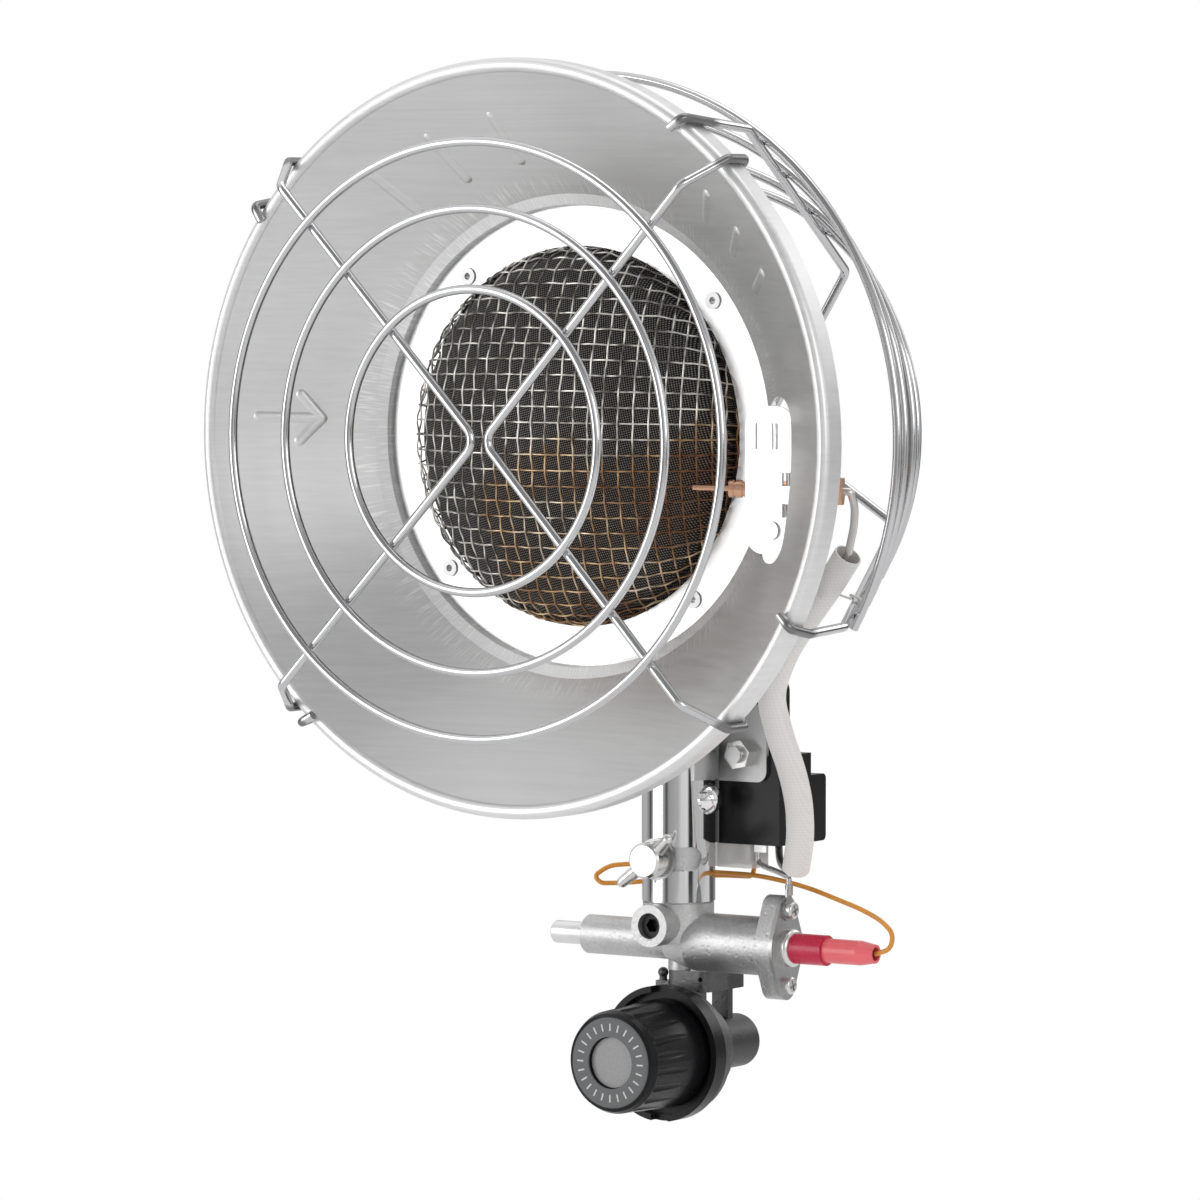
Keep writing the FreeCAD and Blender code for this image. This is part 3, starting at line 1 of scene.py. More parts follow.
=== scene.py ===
# %% [markdown]
# # A portable propane heater head, dressed
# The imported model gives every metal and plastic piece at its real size. This scene keeps those
# pieces, gives each one its finish, and weaves the burner's wire screen, which is too fine for the
# solid model.

# %% Load the frame
import math

import bpy
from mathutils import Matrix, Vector


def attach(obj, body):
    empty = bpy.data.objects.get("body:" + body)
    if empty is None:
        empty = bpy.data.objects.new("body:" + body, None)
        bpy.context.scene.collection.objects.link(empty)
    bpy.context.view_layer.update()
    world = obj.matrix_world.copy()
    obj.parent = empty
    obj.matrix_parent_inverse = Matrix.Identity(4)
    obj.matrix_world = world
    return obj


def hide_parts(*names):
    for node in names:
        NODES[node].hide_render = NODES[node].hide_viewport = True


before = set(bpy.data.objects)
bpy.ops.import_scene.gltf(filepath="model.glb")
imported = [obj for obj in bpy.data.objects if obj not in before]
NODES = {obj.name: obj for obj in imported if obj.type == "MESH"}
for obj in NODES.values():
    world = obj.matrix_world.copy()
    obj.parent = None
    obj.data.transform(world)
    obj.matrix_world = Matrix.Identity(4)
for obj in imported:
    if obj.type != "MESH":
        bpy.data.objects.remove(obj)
bpy.ops.object.select_all(action="DESELECT")
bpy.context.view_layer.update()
MM = 0.001
TURN = 2 * math.pi
RIM_Y = -147.5 * MM
HEAD_Z = 220.5 * MM
print("nodes", len(NODES))

# %% [markdown]
# ## Camera, floor and light
# The heater hangs from its gas inlet, so the floor lies well below it. The photograph has a long
# lens a little above the dish's centre, 34 degrees round to the right. Chrome shows whatever stands
# around it, so the world has broad pale areas with a few darker strips, as the walls and stands of a
# studio give.

# %% Camera
SENSOR_MM = 36.0
LENS_MM = 197.8
CAMERA_PLACE = (1.2896, -1.9886, 0.2910)
CAMERA_TILT = math.radians(86.81)
CAMERA_ROUND = math.radians(34.17)

camera_data = bpy.data.cameras.new("camera")
camera_data.sensor_width = SENSOR_MM
camera_data.lens = LENS_MM
camera = bpy.data.objects.new("camera", camera_data)
camera.location = CAMERA_PLACE
camera.rotation_euler = (CAMERA_TILT, 0.0, CAMERA_ROUND)
bpy.context.scene.collection.objects.link(camera)
bpy.context.scene.camera = camera
bpy.context.scene.view_settings.view_transform = "Standard"
print("camera lens, mm", LENS_MM)

# %% [markdown]
# ## Shader maths as Python
# A material is a small formula over the surface. One class stands for a socket, so that the formula
# reads as ordinary arithmetic, and one function makes any other node from its kind, settings and
# inputs. Three more helpers make the nodes that most formulas need.

# %% Shader maths
class Shade:
    """One output of a node tree. Arithmetic on it adds Math nodes."""

    def __init__(self, tree, socket):
        self.tree = tree
        self.socket = socket

    def math(self, operation, *others):
        return make(self.tree, "ShaderNodeMath", {"operation": operation}, [self, *others])

    def __add__(self, other):
        return self.math("ADD", other)

    def __sub__(self, other):
        return self.math("SUBTRACT", other)

    def __rsub__(self, other):
        return make(self.tree, "ShaderNodeMath", {"operation": "SUBTRACT"}, [other, self])

    def __mul__(self, other):
        return self.math("MULTIPLY", other)

    def __truediv__(self, other):
        return self.math("DIVIDE", other)

    __radd__ = __add__
    __rmul__ = __mul__

    def sine(self):
        return self.math("SINE")

    def size(self):
        return self.math("ABSOLUTE")

    def rise(self, low, high):
        """0 below low, 1 above high and smooth between."""
        settings = {"interpolation_type": "SMOOTHSTEP"}
        return make(self.tree, "ShaderNodeMapRange", settings,
                    {"Value": self, "From Min": low, "From Max": high})


def make(tree, kind, settings=None, inputs=None, out=0):
    """Adds a node, sets it, feeds its sockets, and returns one of its outputs."""
    made = tree.nodes.new(kind)
    for name, value in (settings or {}).items():
        if name == "stops":
            ramp = made.color_ramp
            while len(ramp.elements) < len(value):
                ramp.elements.new(0.5)
            for element, (place, colour) in zip(ramp.elements, value):
                element.position = place
                element.color = (*colour, 1.0)
        else:
            setattr(made, name, value)
    pairs = inputs.items() if isinstance(inputs, dict) else enumerate(inputs or [])
    for key, value in pairs:
        if isinstance(value, Shade):
            tree.links.new(value.socket, made.inputs[key])
        else:
            made.inputs[key].default_value = value
    return Shade(tree, made.outputs[out])


def axes(place):
    """The three coordinates of a vector."""
    return [make(place.tree, "ShaderNodeSeparateXYZ", {}, [place], out) for out in range(3)]


def grey(shade):
    """A colour with the same red, green and blue."""
    return make(shade.tree, "ShaderNodeCombineColor", {}, [shade, shade, shade])


def mix(share, first, second):
    """Colour between two colours, each given with its alpha or made by a node."""
    inputs = {0: share, 6: first, 7: second}
    return make(share.tree, "ShaderNodeMix", {"data_type": "RGBA"}, inputs, 2)


class Finish:
    """A material with its surface shader, its place coordinates and a few helpers."""

    def __init__(self, name, colour, metallic=0.0, roughness=0.5, **fixed):
        self.material = bpy.data.materials.new(name)
        self.material.use_nodes = True
        self.tree = self.material.node_tree
        self.surface = self.tree.nodes["Principled BSDF"]
        self.put("Base Color", (*colour, 1.0))
        self.put("Metallic", metallic)
        self.put("Roughness", roughness)
        for socket, value in fixed.items():
            self.put(socket.replace("_", " "), value)
        self.place = make(self.tree, "ShaderNodeTexCoord", out=3)
        self.x, self.y, self.z = axes(self.place)

    def put(self, socket, value):
        if isinstance(value, Shade):
            self.tree.links.new(value.socket, self.surface.inputs[socket])
        else:
            self.surface.inputs[socket].default_value = value

    def scaled(self, stretch):
        return make(self.tree, "ShaderNodeMapping", {}, {"Vector": self.place, "Scale": stretch})

    def noise(self, scale, detail=3.0, stretch=(1, 1, 1)):
        return make(self.tree, "ShaderNodeTexNoise", {},
                    {"Vector": self.scaled(stretch), "Scale": scale, "Detail": detail})

    def blend(self, share, first, second):
        """Colour between two colours, or between two made ones."""
        ends = [c if isinstance(c, Shade) else (*c, 1.0) for c in (first, second)]
        return mix(share, *ends)

    def bump(self, height, distance, strength):
        normal = make(self.tree, "ShaderNodeBump", {},
                      {"Height": height, "Distance": distance, "Strength": strength})
        self.put("Normal", normal)

    def cloudy(self, low, high, cloud):
        """Roughness that wanders between two values."""
        self.put("Roughness", low + (high - low) * cloud)

    def radius(self, centre_x, centre_z):
        """Distance from an axis that runs along Y."""
        across = self.x - centre_x
        up = self.z - centre_z
        return (across * across + up * up).math("SQRT")

    def turn(self, centre_x, centre_z):
        """Turn about an axis along Y, in radians."""
        return (self.z - centre_z).math("ARCTAN2", self.x - centre_x)


def dress(finish, *names):
    """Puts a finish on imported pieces."""
    for name in names:
        piece = NODES[name]
        if not piece.material_slots:
            piece.data.materials.append(finish.material)
        for slot in piece.material_slots:
            slot.material = finish.material
    print("finish", finish.material.name, "on pieces", len(names))


# %% [markdown]
# The world is white to the camera and a studio to everything else: brighter above than below, with
# darker strips at a few compass directions for the chrome to pick up. Low and high directions have
# their own strips, which fade into each other. Each strip is a compass direction from 0 to 1, where
# 0.5 is along X, and a brightness.

# %% World
HEIGHTS = [(0.0, 0.30), (0.44, 0.45), (0.56, 0.72), (0.80, 0.85)]
LOW_STRIPS = [(0.00, 1.0), (0.05, 0.5), (0.07, 0.05), (0.10, 1.0), (0.20, 1.2), (0.235, 0.10),
              (0.26, 0.7), (0.34, 0.9), (0.37, 1.4), (0.42, 1.5), (0.435, 0.03), (0.46, 0.05),
              (0.48, 1.0), (0.60, 1.1), (0.70, 0.10), (0.77, 0.6), (1.00, 1.0)]
HIGH_STRIPS = [(0.00, 1.25), (0.15, 1.0), (0.24, 0.45), (0.36, 0.30), (0.46, 0.5), (0.60, 1.0),
               (1.00, 1.25)]
WHITE = (1, 1, 1, 1)


def grey_ramp(share, strips):
    """Greys at the given places along a share from 0 to 1."""
    stops = [(place, (value,) * 3) for place, value in strips]
    return make(share.tree, "ShaderNodeValToRGB", {"stops": stops}, [share])


def studio_world():
    world = bpy.data.worlds.new("studio")
    world.use_nodes = True
    tree = world.node_tree
    tree.nodes.clear()
    way = make(tree, "ShaderNodeTexCoord", {}, [], 0)
    x, y, z = axes(way)
    base = grey_ramp(z * 0.5 + 0.5, HEIGHTS)
    compass = y.math("ARCTAN2", x) / TURN + 0.5
    low = grey_ramp(compass, LOW_STRIPS)
    high = grey_ramp(compass, HIGH_STRIPS)
    strips = mix(z.rise(0.25, 0.65), low, high)
    room = make(tree, "ShaderNodeMix", {"data_type": "RGBA", "blend_type": "MULTIPLY"},
                {0: 1.0, 6: base, 7: strips}, 2)
    seen = make(tree, "ShaderNodeLightPath", {}, [], 0)
    glow = make(tree, "ShaderNodeBackground", {}, {"Color": mix(seen, room, WHITE), "Strength": 1.0})
    end = tree.nodes.new("ShaderNodeOutputWorld")
    tree.links.new(glow.socket, end.inputs["Surface"])
    bpy.context.scene.world = world


studio_world()
print("world strips, low and high", len(LOW_STRIPS), len(HIGH_STRIPS))

# %% [markdown]
# The floor is a plain pale sheet far below the heater, as white to the camera as the backdrop. Four
# soft square lamps stand around the heater, each with its place, width and power.

# %% Floor and lamps
FLOOR_Z = -0.30
FLOOR_SIZE = 6.0
HEART = (0.0, -0.10, 0.18)
LAMPS = {"key_softbox": ((-1.5, -2.1, 0.55), 1.6, 20.0),
         "right_softbox": ((1.9, -0.7, 0.7), 0.9, 6.5),
         "top_softbox": ((0.2, 0.3, 1.9), 1.2, 6.0),
         "back_softbox": ((0.6, 1.7, 0.9), 0.8, 4.0)}


def floor():
    bpy.ops.mesh.primitive_plane_add(size=FLOOR_SIZE, location=(0, 0, FLOOR_Z))
    sheet = bpy.context.object
    sheet.name = "floor"
    look = Finish("floor_paper", (0.86, 0.86, 0.86), roughness=0.9)
    tree = look.tree
    seen = make(tree, "ShaderNodeLightPath", {}, [], 0)
    white = make(tree, "ShaderNodeEmission", {}, {"Color": WHITE, "Strength": 1.0})
    mixed = make(tree, "ShaderNodeMixShader", {}, {0: seen, 2: white})
    tree.links.new(look.surface.outputs[0], mixed.socket.node.inputs[1])
    tree.links.new(mixed.socket, tree.nodes["Material Output"].inputs["Surface"])
    sheet.data.materials.append(look.material)


def lamp(name, place, size, watts):
    data = bpy.data.lights.new(name, "AREA")
    data.size = size
    data.energy = watts
    light = bpy.data.objects.new(name, data)
    light.location = place
    light.rotation_euler = (Vector(HEART) - Vector(place)).to_track_quat("-Z", "Y").to_euler()
    bpy.context.scene.collection.objects.link(light)


floor()
for lamp_name, (lamp_place, lamp_size, lamp_watts) in LAMPS.items():
    lamp(lamp_name, lamp_place, lamp_size, lamp_watts)
print("lamps", len(LAMPS))

# %% [markdown]
# ## Sheet metal
# The dish is bright rolled sheet that was spun to shape. Rolling leaves fine straight lines across
# it, and forming leaves short radial scratches where the metal turns over its inner lip. Both are
# stretched noise: the first along X, the second away from the dish's axis. Near the inner lip the
# metal is painted paler, as a painted highlight.

# %% Dish
SCRATCHES_START = (67 * MM, 72 * MM)
SCRATCHES_END = (86 * MM, 93 * MM)
PAINTED_HIGHLIGHT_END = (76 * MM, 100 * MM)
ROUND_SCALE = 60.0


def dish_finish():
    look = Finish("spun_sheet", (0.80, 0.80, 0.80), 0.80, 0.34)
    rolled = look.noise(90.0, 4.0, (0.06, 1.0, 9.0))
    patches = look.noise(14.0, 3.0)
    radius = look.radius(0.0, HEAD_Z)
    turn = look.turn(0.0, HEAD_Z)
    near_lip = radius.rise(*SCRATCHES_START) * (1 - radius.rise(*SCRATCHES_END))
    round_place = make(look.tree, "ShaderNodeCombineXYZ", {},
                       [turn * ROUND_SCALE, radius * ROUND_SCALE, 0.0])
    scratch = make(look.tree, "ShaderNodeTexNoise", {},
                   {"Vector": round_place, "Scale": 2.2, "Detail": 3.0}).rise(0.5, 0.66)
    marks = scratch * near_lip
    # Paler towards the middle of the dish: a painted highlight near the inner lip.
    inner = 0.14 * (1 - radius.rise(*PAINTED_HIGHLIGHT_END))
    tone = 0.61 + inner + 0.16 * patches + 0.14 * rolled + 0.20 * marks
    look.put("Base Color", grey(tone))
    look.put("Roughness", 0.32 + 0.14 * rolled + 0.06 * patches - 0.10 * marks)
    look.bump(rolled * 0.6 + patches * 2.0 + marks * 1.4, 0.00006, 0.55)
    return look


dress(dish_finish(), "reflector_dish")


# %% [markdown]
# The ring and the bracket in front of the burner have a smoother face. The pan and the other pressed
# parts behind are a darker plated steel. Both have a faint cloudy grain.

# %% Pressed parts
def plain_plate(name, tone, low, high):
    look = Finish(name, (tone, tone, tone), 1.0, 0.3)
    cloud = look.noise(45.0, 4.0)
    grain = look.noise(600.0, 2.0, (1.0, 1.0, 0.25))
    shade = tone - 0.10 + 0.14 * cloud + 0.06 * grain
    look.put("Base Color", grey(shade))
    look.cloudy(low, high, cloud)
    look.bump(grain + cloud * 2.0, 0.00004, 0.5)
    return look


dress(plain_plate("bright_plate", 0.66, 0.28, 0.42),
      "burner_ring", "bracket_post", "thermocouple_bracket")
dress(plain_plate("zinc_plate", 0.44, 0.26, 0.44),
      "burner_pan", "burner_rivets", "retaining_plate", "ring_terminal", "switch_bracket",
      "wing_washers")

# %% [markdown]
# ## Wire guards and column
# The guards are bright drawn wire, welded where they cross. Their bent ends over the rim are made
# darker and duller, so the finish fades to a dark grey near the rim. The column is polished
# tube, whose look is almost all reflection.

# %% Chrome
WIRE_ENDS_R = (128.5 * MM, 130.5 * MM)
WIRE_ENDS_DEPTH = 12 * MM
WIRE_ENDS_FADE = 6 * MM
THREAD_PITCH = 1 * MM


def wire_finish():
    look = Finish("bright_wire", (0.78, 0.78, 0.79), 1.0, 0.16)
    radius = look.radius(0.0, HEAD_Z)
    behind = look.y - RIM_Y - WIRE_ENDS_DEPTH
    ends = radius.rise(*WIRE_ENDS_R) * (1 - behind.rise(0.0, WIRE_ENDS_FADE))
    drawn = look.noise(220.0, 3.0)
    look.put("Base Color", look.blend(ends * 0.8, (0.60, 0.60, 0.61), (0.12, 0.12, 0.12)))
    look.put("Roughness", 0.12 + 0.06 * drawn + 0.16 * ends)
    look.bump(drawn, 0.00002, 0.3)
    return look


def tube_finish():
    look = Finish("polished_tube", (0.84, 0.84, 0.85), 1.0, 0.05)
    haze = look.noise(40.0, 5.0)
    look.put("Roughness", 0.03 + 0.07 * haze)
    look.bump(look.noise(18.0, 2.0), 0.00008, 0.35)
    return look


def plated_finish():
    look = Finish("plated_steel", (0.70, 0.70, 0.70), 1.0, 0.28)
    cloud = look.noise(120.0, 4.0)
    look.put("Base Color", look.blend(cloud, (0.58, 0.57, 0.56), (0.84, 0.84, 0.83)))
    look.put("Roughness", 0.18 + 0.22 * cloud)
    look.bump(look.noise(700.0, 3.0), 0.00005, 0.5)
    return look


def threaded_finish():
    """Plated steel with a screw thread whose axis lies along Y, its grooves painted dark as painted
    shade.
    """
    look = Finish("threaded_steel", (0.62, 0.62, 0.62), 1.0, 0.3)
    ridge = (look.y * (TURN / THREAD_PITCH)).sine()
    # The thread's grooves are painted dark: painted shade in the recesses.
    tone = look.blend(ridge.rise(-0.6, 0.8), (0.25, 0.25, 0.25), (0.82, 0.82, 0.82))
    look.put("Base Color", tone)
    look.bump(ridge, 0.0002, 0.8)
    return look


dress(wire_finish(),
      "guard_ring_inner", "guard_ring_middle", "guard_ring_outer", "guard_wire_right",
      "guard_wire_left", "rear_bow_right", "rear_bow_left", "rear_hoop_1", "rear_hoop_2",
      "rear_hoop_3", "rear_hoop_4")
dress(tube_finish(), "column_tube", "column_rivet")
dress(plated_finish(),
      "wing_screw", "plate_screws", "bracket_nut", "button_spring", "regulator_spring",
      "spring_plate", "adjusting_spindle", "magnet_collar", "tip_pendulum", "lead_tie",
      "magnet_unit", "armature_disc", "switch_terminals")
dress(threaded_finish(), "bracket_bolt")

# %% [markdown]
# ## Cast valve and turned parts
# The valve and regulator are die cast alloy: a dull grey skin with a fine grain that glints, and
# small dips. Two sizes of noise make the grain, and cell noise makes the pits. The casting is darker
# at its rear, near the inlet.

# %% Castings
CAST_REAR_Y = (-23.5 * MM, -20.5 * MM)


def cast_finish(name, dark, light):
    look = Finish(name, (dark,) * 3, 0.9, 0.42)
    grain = look.noise(900.0, 3.0)
    flow = look.noise(70.0, 4.0)
    pits = make(look.tree, "ShaderNodeTexVoronoi", {}, {"Vector": look.place, "Scale": 420.0})
    rear = 1 - 0.6 * look.y.rise(*CAST_REAR_Y)
    skin = (grain * 0.5 + flow * 0.5) * rear
    look.put("Base Color", look.blend(skin, (dark,) * 3, (light,) * 3))
    look.put("Roughness", 0.30 + 0.25 * flow)
    look.bump(grain + flow * 3.0 + pits.rise(0.0, 0.35), 0.00012, 0.7)
    return look


def turned_finish(name, colour, low, high, pitch):
    """Metal with fine turning lines along X."""
    look = Finish(name, colour, 1.0, low)
    lines = (look.x * (TURN / pitch)).sine()
    cloud = look.noise(90.0, 4.0)
    darker = tuple(c * 0.7 for c in colour)
    look.put("Base Color", look.blend(cloud, darker, colour))
    look.cloudy(low, high, cloud)
    look.bump(lines * 0.5 + cloud, 0.00005, 0.5)
    return look


dress(cast_finish("bright_casting", 0.30, 0.74), "valve_body")
# The regulator's casting is a dark alloy, made darker still with painted shade for the shade it sits
# in behind the bonnet.
dress(cast_finish("dark_shaded_casting", 0.05, 0.20), "regulator_body")
dress(turned_finish("turned_button", (0.90, 0.90, 0.91), 0.22, 0.36, 0.4 * MM), "safety_button")
dress(turned_finish("turned_brass", (0.72, 0.56, 0.30), 0.2, 0.4, 0.4 * MM),
      "gas_jet", "inlet_filter")
dress(turned_finish("dark_plug", (0.05, 0.05, 0.05), 0.3, 0.5, 0.4 * MM), "port_plug")
dress(turned_finish("copper_tip", (0.86, 0.50, 0.33), 0.2, 0.4, 0.5 * MM),
      "thermocouple_probe", "probe_nut")
dress(turned_finish("lead_metal", (0.72, 0.70, 0.68), 0.2, 0.4, 0.6 * MM), "thermocouple_lead")

# %% [markdown]
# ## Plastics
# The knob, bonnet and switch are black mouldings with a fine grain, which is finest on the switch. The
# knob's front is printed grey, made paler with painted sheen, with plain tick marks, worked out from
# the turn and the distance from the knob's axis in the knob's own coordinates, so they turn with it.

# %% Plastics
KNOB_FRONT_Y = -82.2 * MM
KNOB_FACE_R = (15.8 * MM, 16.2 * MM)
TICK_STEP = math.radians(15.0)
TICK_WIDTH = (0.9 * MM, 1.2 * MM)
TICK_START = (11.2 * MM, 11.4 * MM)
TICK_END = (13.8 * MM, 14.0 * MM)


def black_finish(name, low, high, grain):
    look = Finish(name, (0.018, 0.018, 0.019), 0.0, low, Specular_IOR_Level=0.2)
    fine = look.noise(1500.0, 2.0)
    cloud = look.noise(60.0, 3.0)
    look.put("Base Color", look.blend(cloud, (0.005, 0.005, 0.006), (0.014, 0.014, 0.015)))
    look.cloudy(low, high, cloud)
    look.bump(fine, grain, 0.6)
    return look


def knob_finish():
    look = black_finish("black_knob", 0.26, 0.40, 0.00006)
    radius = look.radius(0.0, 0.0)
    front = 1 - (look.y - KNOB_FRONT_Y).rise(0.0, 0.3 * MM)
    face = front * (1 - radius.rise(*KNOB_FACE_R))
    turn = look.turn(0.0, 0.0) / TICK_STEP
    near = (turn - turn.math("ROUND")).size() * radius
    tick = (1 - near.rise(*TICK_WIDTH)) * radius.rise(*TICK_START)
    tick = tick * (1 - radius.rise(*TICK_END)) * face
    # The front's grey is print, lightened with painted sheen.
    print_and_sheen_grey = look.blend(face, (0.008, 0.008, 0.009), (0.14, 0.142, 0.145))
    look.put("Base Color", look.blend(tick, print_and_sheen_grey, (0.62, 0.62, 0.62)))
    look.put("Roughness", 0.26 + 0.16 * face)
    return look


def cap_finish():
    look = Finish("grey_cap", (0.17, 0.17, 0.175), 0.3, 0.42)
    fine = look.noise(1400.0, 2.0)
    look.put("Base Color", look.blend(fine, (0.22, 0.22, 0.225), (0.32, 0.32, 0.325)))
    look.put("Roughness", 0.36 + 0.14 * look.noise(80.0))
    look.bump(fine, 0.00005, 0.5)
    return look


def moulded(name, colour, low, high, **fixed):
    """Coloured plastic with a soft mottle."""
    look = Finish(name, colour, 0.0, low, **fixed)
    cloud = look.noise(150.0, 3.0)
    darker = tuple(c * 0.78 for c in colour)
    look.put("Base Color", look.blend(cloud, darker, colour))
    look.cloudy(low, high, cloud)
    look.bump(look.noise(500.0, 2.0), 0.00005, 0.5)
    return look


dress(knob_finish(), "control_knob")
dress(cap_finish(), "knob_cap")
dress(black_finish("black_bonnet", 0.20, 0.34, 0.00005), "bonnet")
dress(black_finish("black_switch", 0.16, 0.26, 0.00002), "switch_housing")
dress(moulded("red_nylon", (0.60, 0.015, 0.06), 0.22, 0.34), "terminal_insulator")
dress(moulded("pink_vinyl", (0.92, 0.16, 0.18), 0.18, 0.30), "terminal_sleeve")
dress(moulded("orange_insulation", (0.80, 0.33, 0.04), 0.25, 0.38), "switch_lead")
dress(moulded("dark_fibre", (0.10, 0.10, 0.10), 0.7, 0.9), "burner_gasket", "diaphragm")

# %% [markdown]
# The leads' sleeve is braided glass fibre with a milky skin, and the boot under the switch is clear
# soft vinyl. The braid is two sets of slanting waves multiplied together.

# %% Sleeve and boot
BRAID_PITCH = 2.2 * MM


def braid_finish():
    look = Finish("braided_sleeve", (0.80, 0.78, 0.75), 0.0, 0.5)
    waves = TURN / BRAID_PITCH
    one = ((look.z + look.x) * waves).sine()
    two = ((look.z - look.x) * waves).sine()
    braid = one * two
    tone = look.blend(braid.rise(-0.7, 0.7), (0.745, 0.72, 0.70), (0.80, 0.78, 0.76))
    look.put("Base Color", tone)
    look.put("Roughness", 0.40 + 0.10 * braid.rise(-1.0, 1.0))
    look.bump(braid, 0.00003, 0.5)
    return look


def clear_finish(name, colour, alpha):
    look = Finish(name, colour, 0.0, 0.12, IOR=1.45)
    cloud = look.noise(90.0, 3.0)
    look.put("Alpha", alpha + 0.25 * cloud)
    look.put("Roughness", 0.08 + 0.14 * cloud)
    look.bump(look.noise(160.0, 2.0), 0.0004, 0.5)
    return look


dress(braid_finish(), "lead_sleeve")
dress(clear_finish("clear_vinyl", (0.72, 0.71, 0.70), 0.40), "clear_boot")
dress(moulded("silver_lead", (0.62, 0.61, 0.60), 0.18, 0.32, Metallic=0.8), "ground_lead")

# %% [markdown]
# ## The burner
# The burner is two domes of wire cloth, one inside the other. The inner one is so fine that it reads
# as a dark skin with a diagonal sparkle: it is one skin with the weave's diagonal lines paler, and
# between them it is painted near black as painted shade for the openings. The outer one has wires 0.7
# mm thick and 5.5 mm apart, pressed to a dome from flat woven cloth. So each wire is laid out on the
# flat cloth first: its crossings are carried to the dome at the same distance along the surface from
# the middle, and lifted over and under in turn. A smooth curve that follows the crossings, with a
# round bevel, is the wire.

# %% Burner sizes
SEAT_DEPTH = 47.0 * MM
DOME_BASE_R = 65.5 * MM
DOME_H = 30.6 * MM
KNUCKLE_R = 19.0 * MM
PITCH = 5.5 * MM
WIRE_R = 0.35 * MM
SHOULDER_R = DOME_BASE_R - KNUCKLE_R
CROWN_R = (SHOULDER_R ** 2 + DOME_H ** 2 - KNUCKLE_R ** 2) / (2 * (DOME_H - KNUCKLE_R))
CROWN_ANGLE = math.atan2(SHOULDER_R, CROWN_R - DOME_H)
CROWN_ARC = CROWN_R * CROWN_ANGLE
DOME_ARC = CROWN_ARC + KNUCKLE_R * (math.pi / 2 - CROWN_ANGLE)
print("dome from middle to base along its surface, mm", round(DOME_ARC / MM, 1))


# %% Woven dome
def dome_place(u, v, lift):
    """A point of the flat cloth carried to the dome, lifted off it along its normal."""
    arc = math.hypot(u, v)
    if arc < CROWN_ARC:
        lean = arc / CROWN_R
        radius = CROWN_R * math.sin(lean)
        rise = DOME_H - CROWN_R * (1 - math.cos(lean))
    else:
        lean = CROWN_ANGLE + (arc - CROWN_ARC) / KNUCKLE_R
        radius = SHOULDER_R + KNUCKLE_R * math.sin(lean)
        rise = KNUCKLE_R * math.cos(lean)
    radius += lift * math.sin(lean)
    rise += lift * math.cos(lean)
    share = radius / arc if arc > 1e-9 else 0.0
    return (u * share, RIM_Y + SEAT_DEPTH - rise, HEAD_Z + v * share)


def wire_crossings(fixed, along_x, parity):
    """Places of one wire's crossings, alternately over and under."""
    half = math.sqrt(max(DOME_ARC ** 2 - fixed ** 2, 0.0))
    count = int(half / PITCH)
    spots = [-half] + [step * PITCH for step in range(-count, count + 1)] + [half]
    places = []
    for index, spot in enumerate(spots):
        over = 1 if (index - count + parity) % 2 else -1
        lift = over * WIRE_R * 2.0
        if along_x:
            places.append(dome_place(spot, fixed, lift))
        else:
            places.append(dome_place(fixed, spot, -lift))
    return places


def woven_screen():
    curve = bpy.data.curves.new("woven_screen", "CURVE")
    curve.dimensions = "3D"
    curve.bevel_depth = WIRE_R
    curve.bevel_resolution = 1
    curve.use_fill_caps = True
    curve.resolution_u = 4
    last = int(DOME_ARC / PITCH)
    for along_x in (True, False):
        for line in range(-last, last + 1):
            places = wire_crossings(line * PITCH, along_x, line)
            wire = curve.splines.new("NURBS")
            wire.points.add(len(places) - 1)
            for point, place in zip(wire.points, places):
                point.co = (*place, 1.0)
            wire.order_u = 3
            wire.use_endpoint_u = True
    cloth = bpy.data.objects.new("woven_screen", curve)
    bpy.context.scene.collection.objects.link(cloth)
    bpy.context.view_layer.objects.active = cloth
    cloth.select_set(True)
    bpy.ops.object.convert(target="MESH")
    cloth = bpy.context.object
    bpy.ops.object.shade_smooth()
    cloth.select_set(False)
    print("woven screen faces", len(cloth.data.polygons))
    return cloth
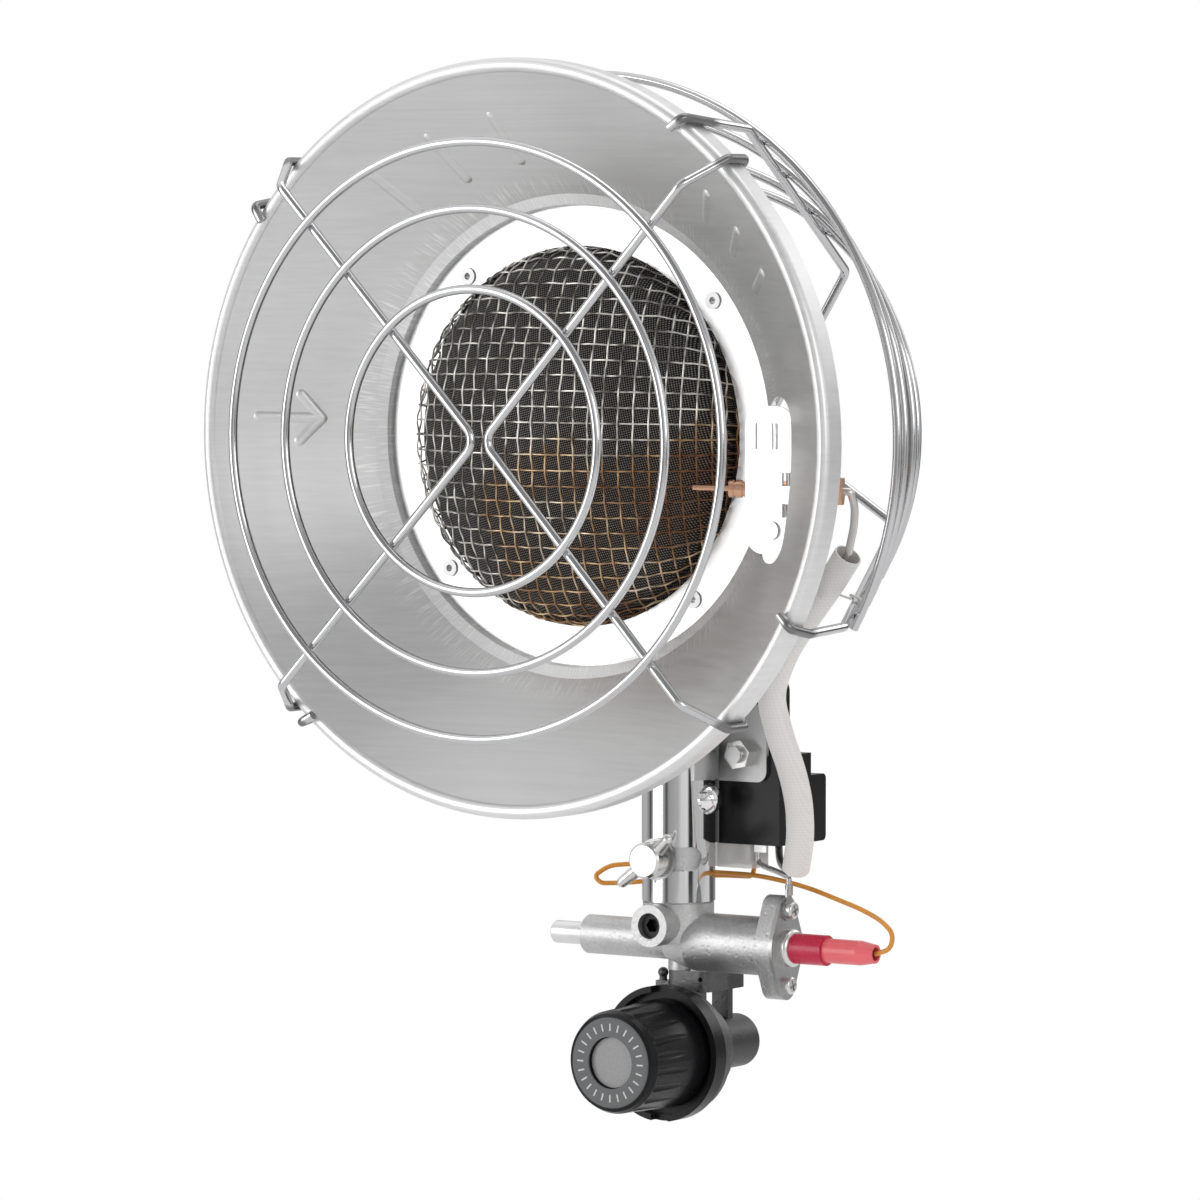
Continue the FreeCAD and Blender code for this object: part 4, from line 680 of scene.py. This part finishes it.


# %% [markdown]
# New wire is a warm silver, painted pale in patches as painted glints. Where the flame plays, low and
# to the right, it has turned straw, orange and brown. The tint is a gradient across the dome broken up
# by large noise.

# %% Burner finishes
HEAT_ACROSS = 8.0
HEAT_DOWN = 7.0
HEAT_BREAKUP = 1.8
HEAT_START = 0.98
HEAT_FADE = 0.9
FINE_PITCH = 1.3 * MM
FINE_SLANT = 0.6


def heat(look):
    """How far the flame has tinted the metal, 0 to 1."""
    slope = look.x * HEAT_ACROSS - (look.z - HEAD_Z) * HEAT_DOWN
    return (slope + look.noise(20.0, 3.0) * HEAT_BREAKUP - HEAT_START).rise(0.0, HEAT_FADE)


def woven_finish():
    look = Finish("heated_wire", (0.7, 0.68, 0.64), 1.0, 0.32)
    tint = heat(look)
    cloud = look.noise(300.0, 3.0)
    # Painted glints: the wire is painted pale in patches, as painted highlights.
    painted_glint = look.noise(140.0, 2.0).rise(0.35, 0.65)
    plain = look.blend(painted_glint, (0.16, 0.145, 0.13), (0.92, 0.89, 0.84))
    straw = look.blend(painted_glint, (0.34, 0.20, 0.11), (0.80, 0.58, 0.34))
    brown = look.blend(cloud, (0.05, 0.035, 0.03), (0.32, 0.15, 0.07))
    warm = look.blend(tint.rise(0.0, 0.40), plain, straw)
    look.put("Base Color", look.blend(tint.rise(0.25, 0.65), warm, brown))
    look.put("Roughness", 0.24 + 0.16 * cloud + 0.1 * tint)
    look.bump(cloud, 0.00006, 0.5)
    return look


def fine_finish():
    look = Finish("fine_cloth", (0.06, 0.055, 0.05), 0.6, 0.6)
    waves = TURN / FINE_PITCH
    one = ((look.z + look.x * FINE_SLANT) * waves).sine()
    two = ((look.z * FINE_SLANT - look.x) * waves).sine()
    cloth = (one * two).rise(-0.1, 0.8)
    tint = heat(look)
    # Between the weave's lines the cloth is painted near black: painted shade for its openings.
    dark = look.blend(cloth, (0.012, 0.011, 0.010), (0.30, 0.285, 0.27))
    warm = look.blend(cloth, (0.018, 0.011, 0.008), (0.34, 0.19, 0.10))
    look.put("Base Color", look.blend(tint * 0.7, dark, warm))
    look.put("Roughness", 0.42 + 0.25 * (1 - cloth))
    look.bump(cloth, 0.0003, 0.8)
    return look


screen = woven_screen()
screen.data.materials.append(woven_finish().material)
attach(screen, "head")
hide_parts("burner_dome")
dress(fine_finish(), "inner_screen")
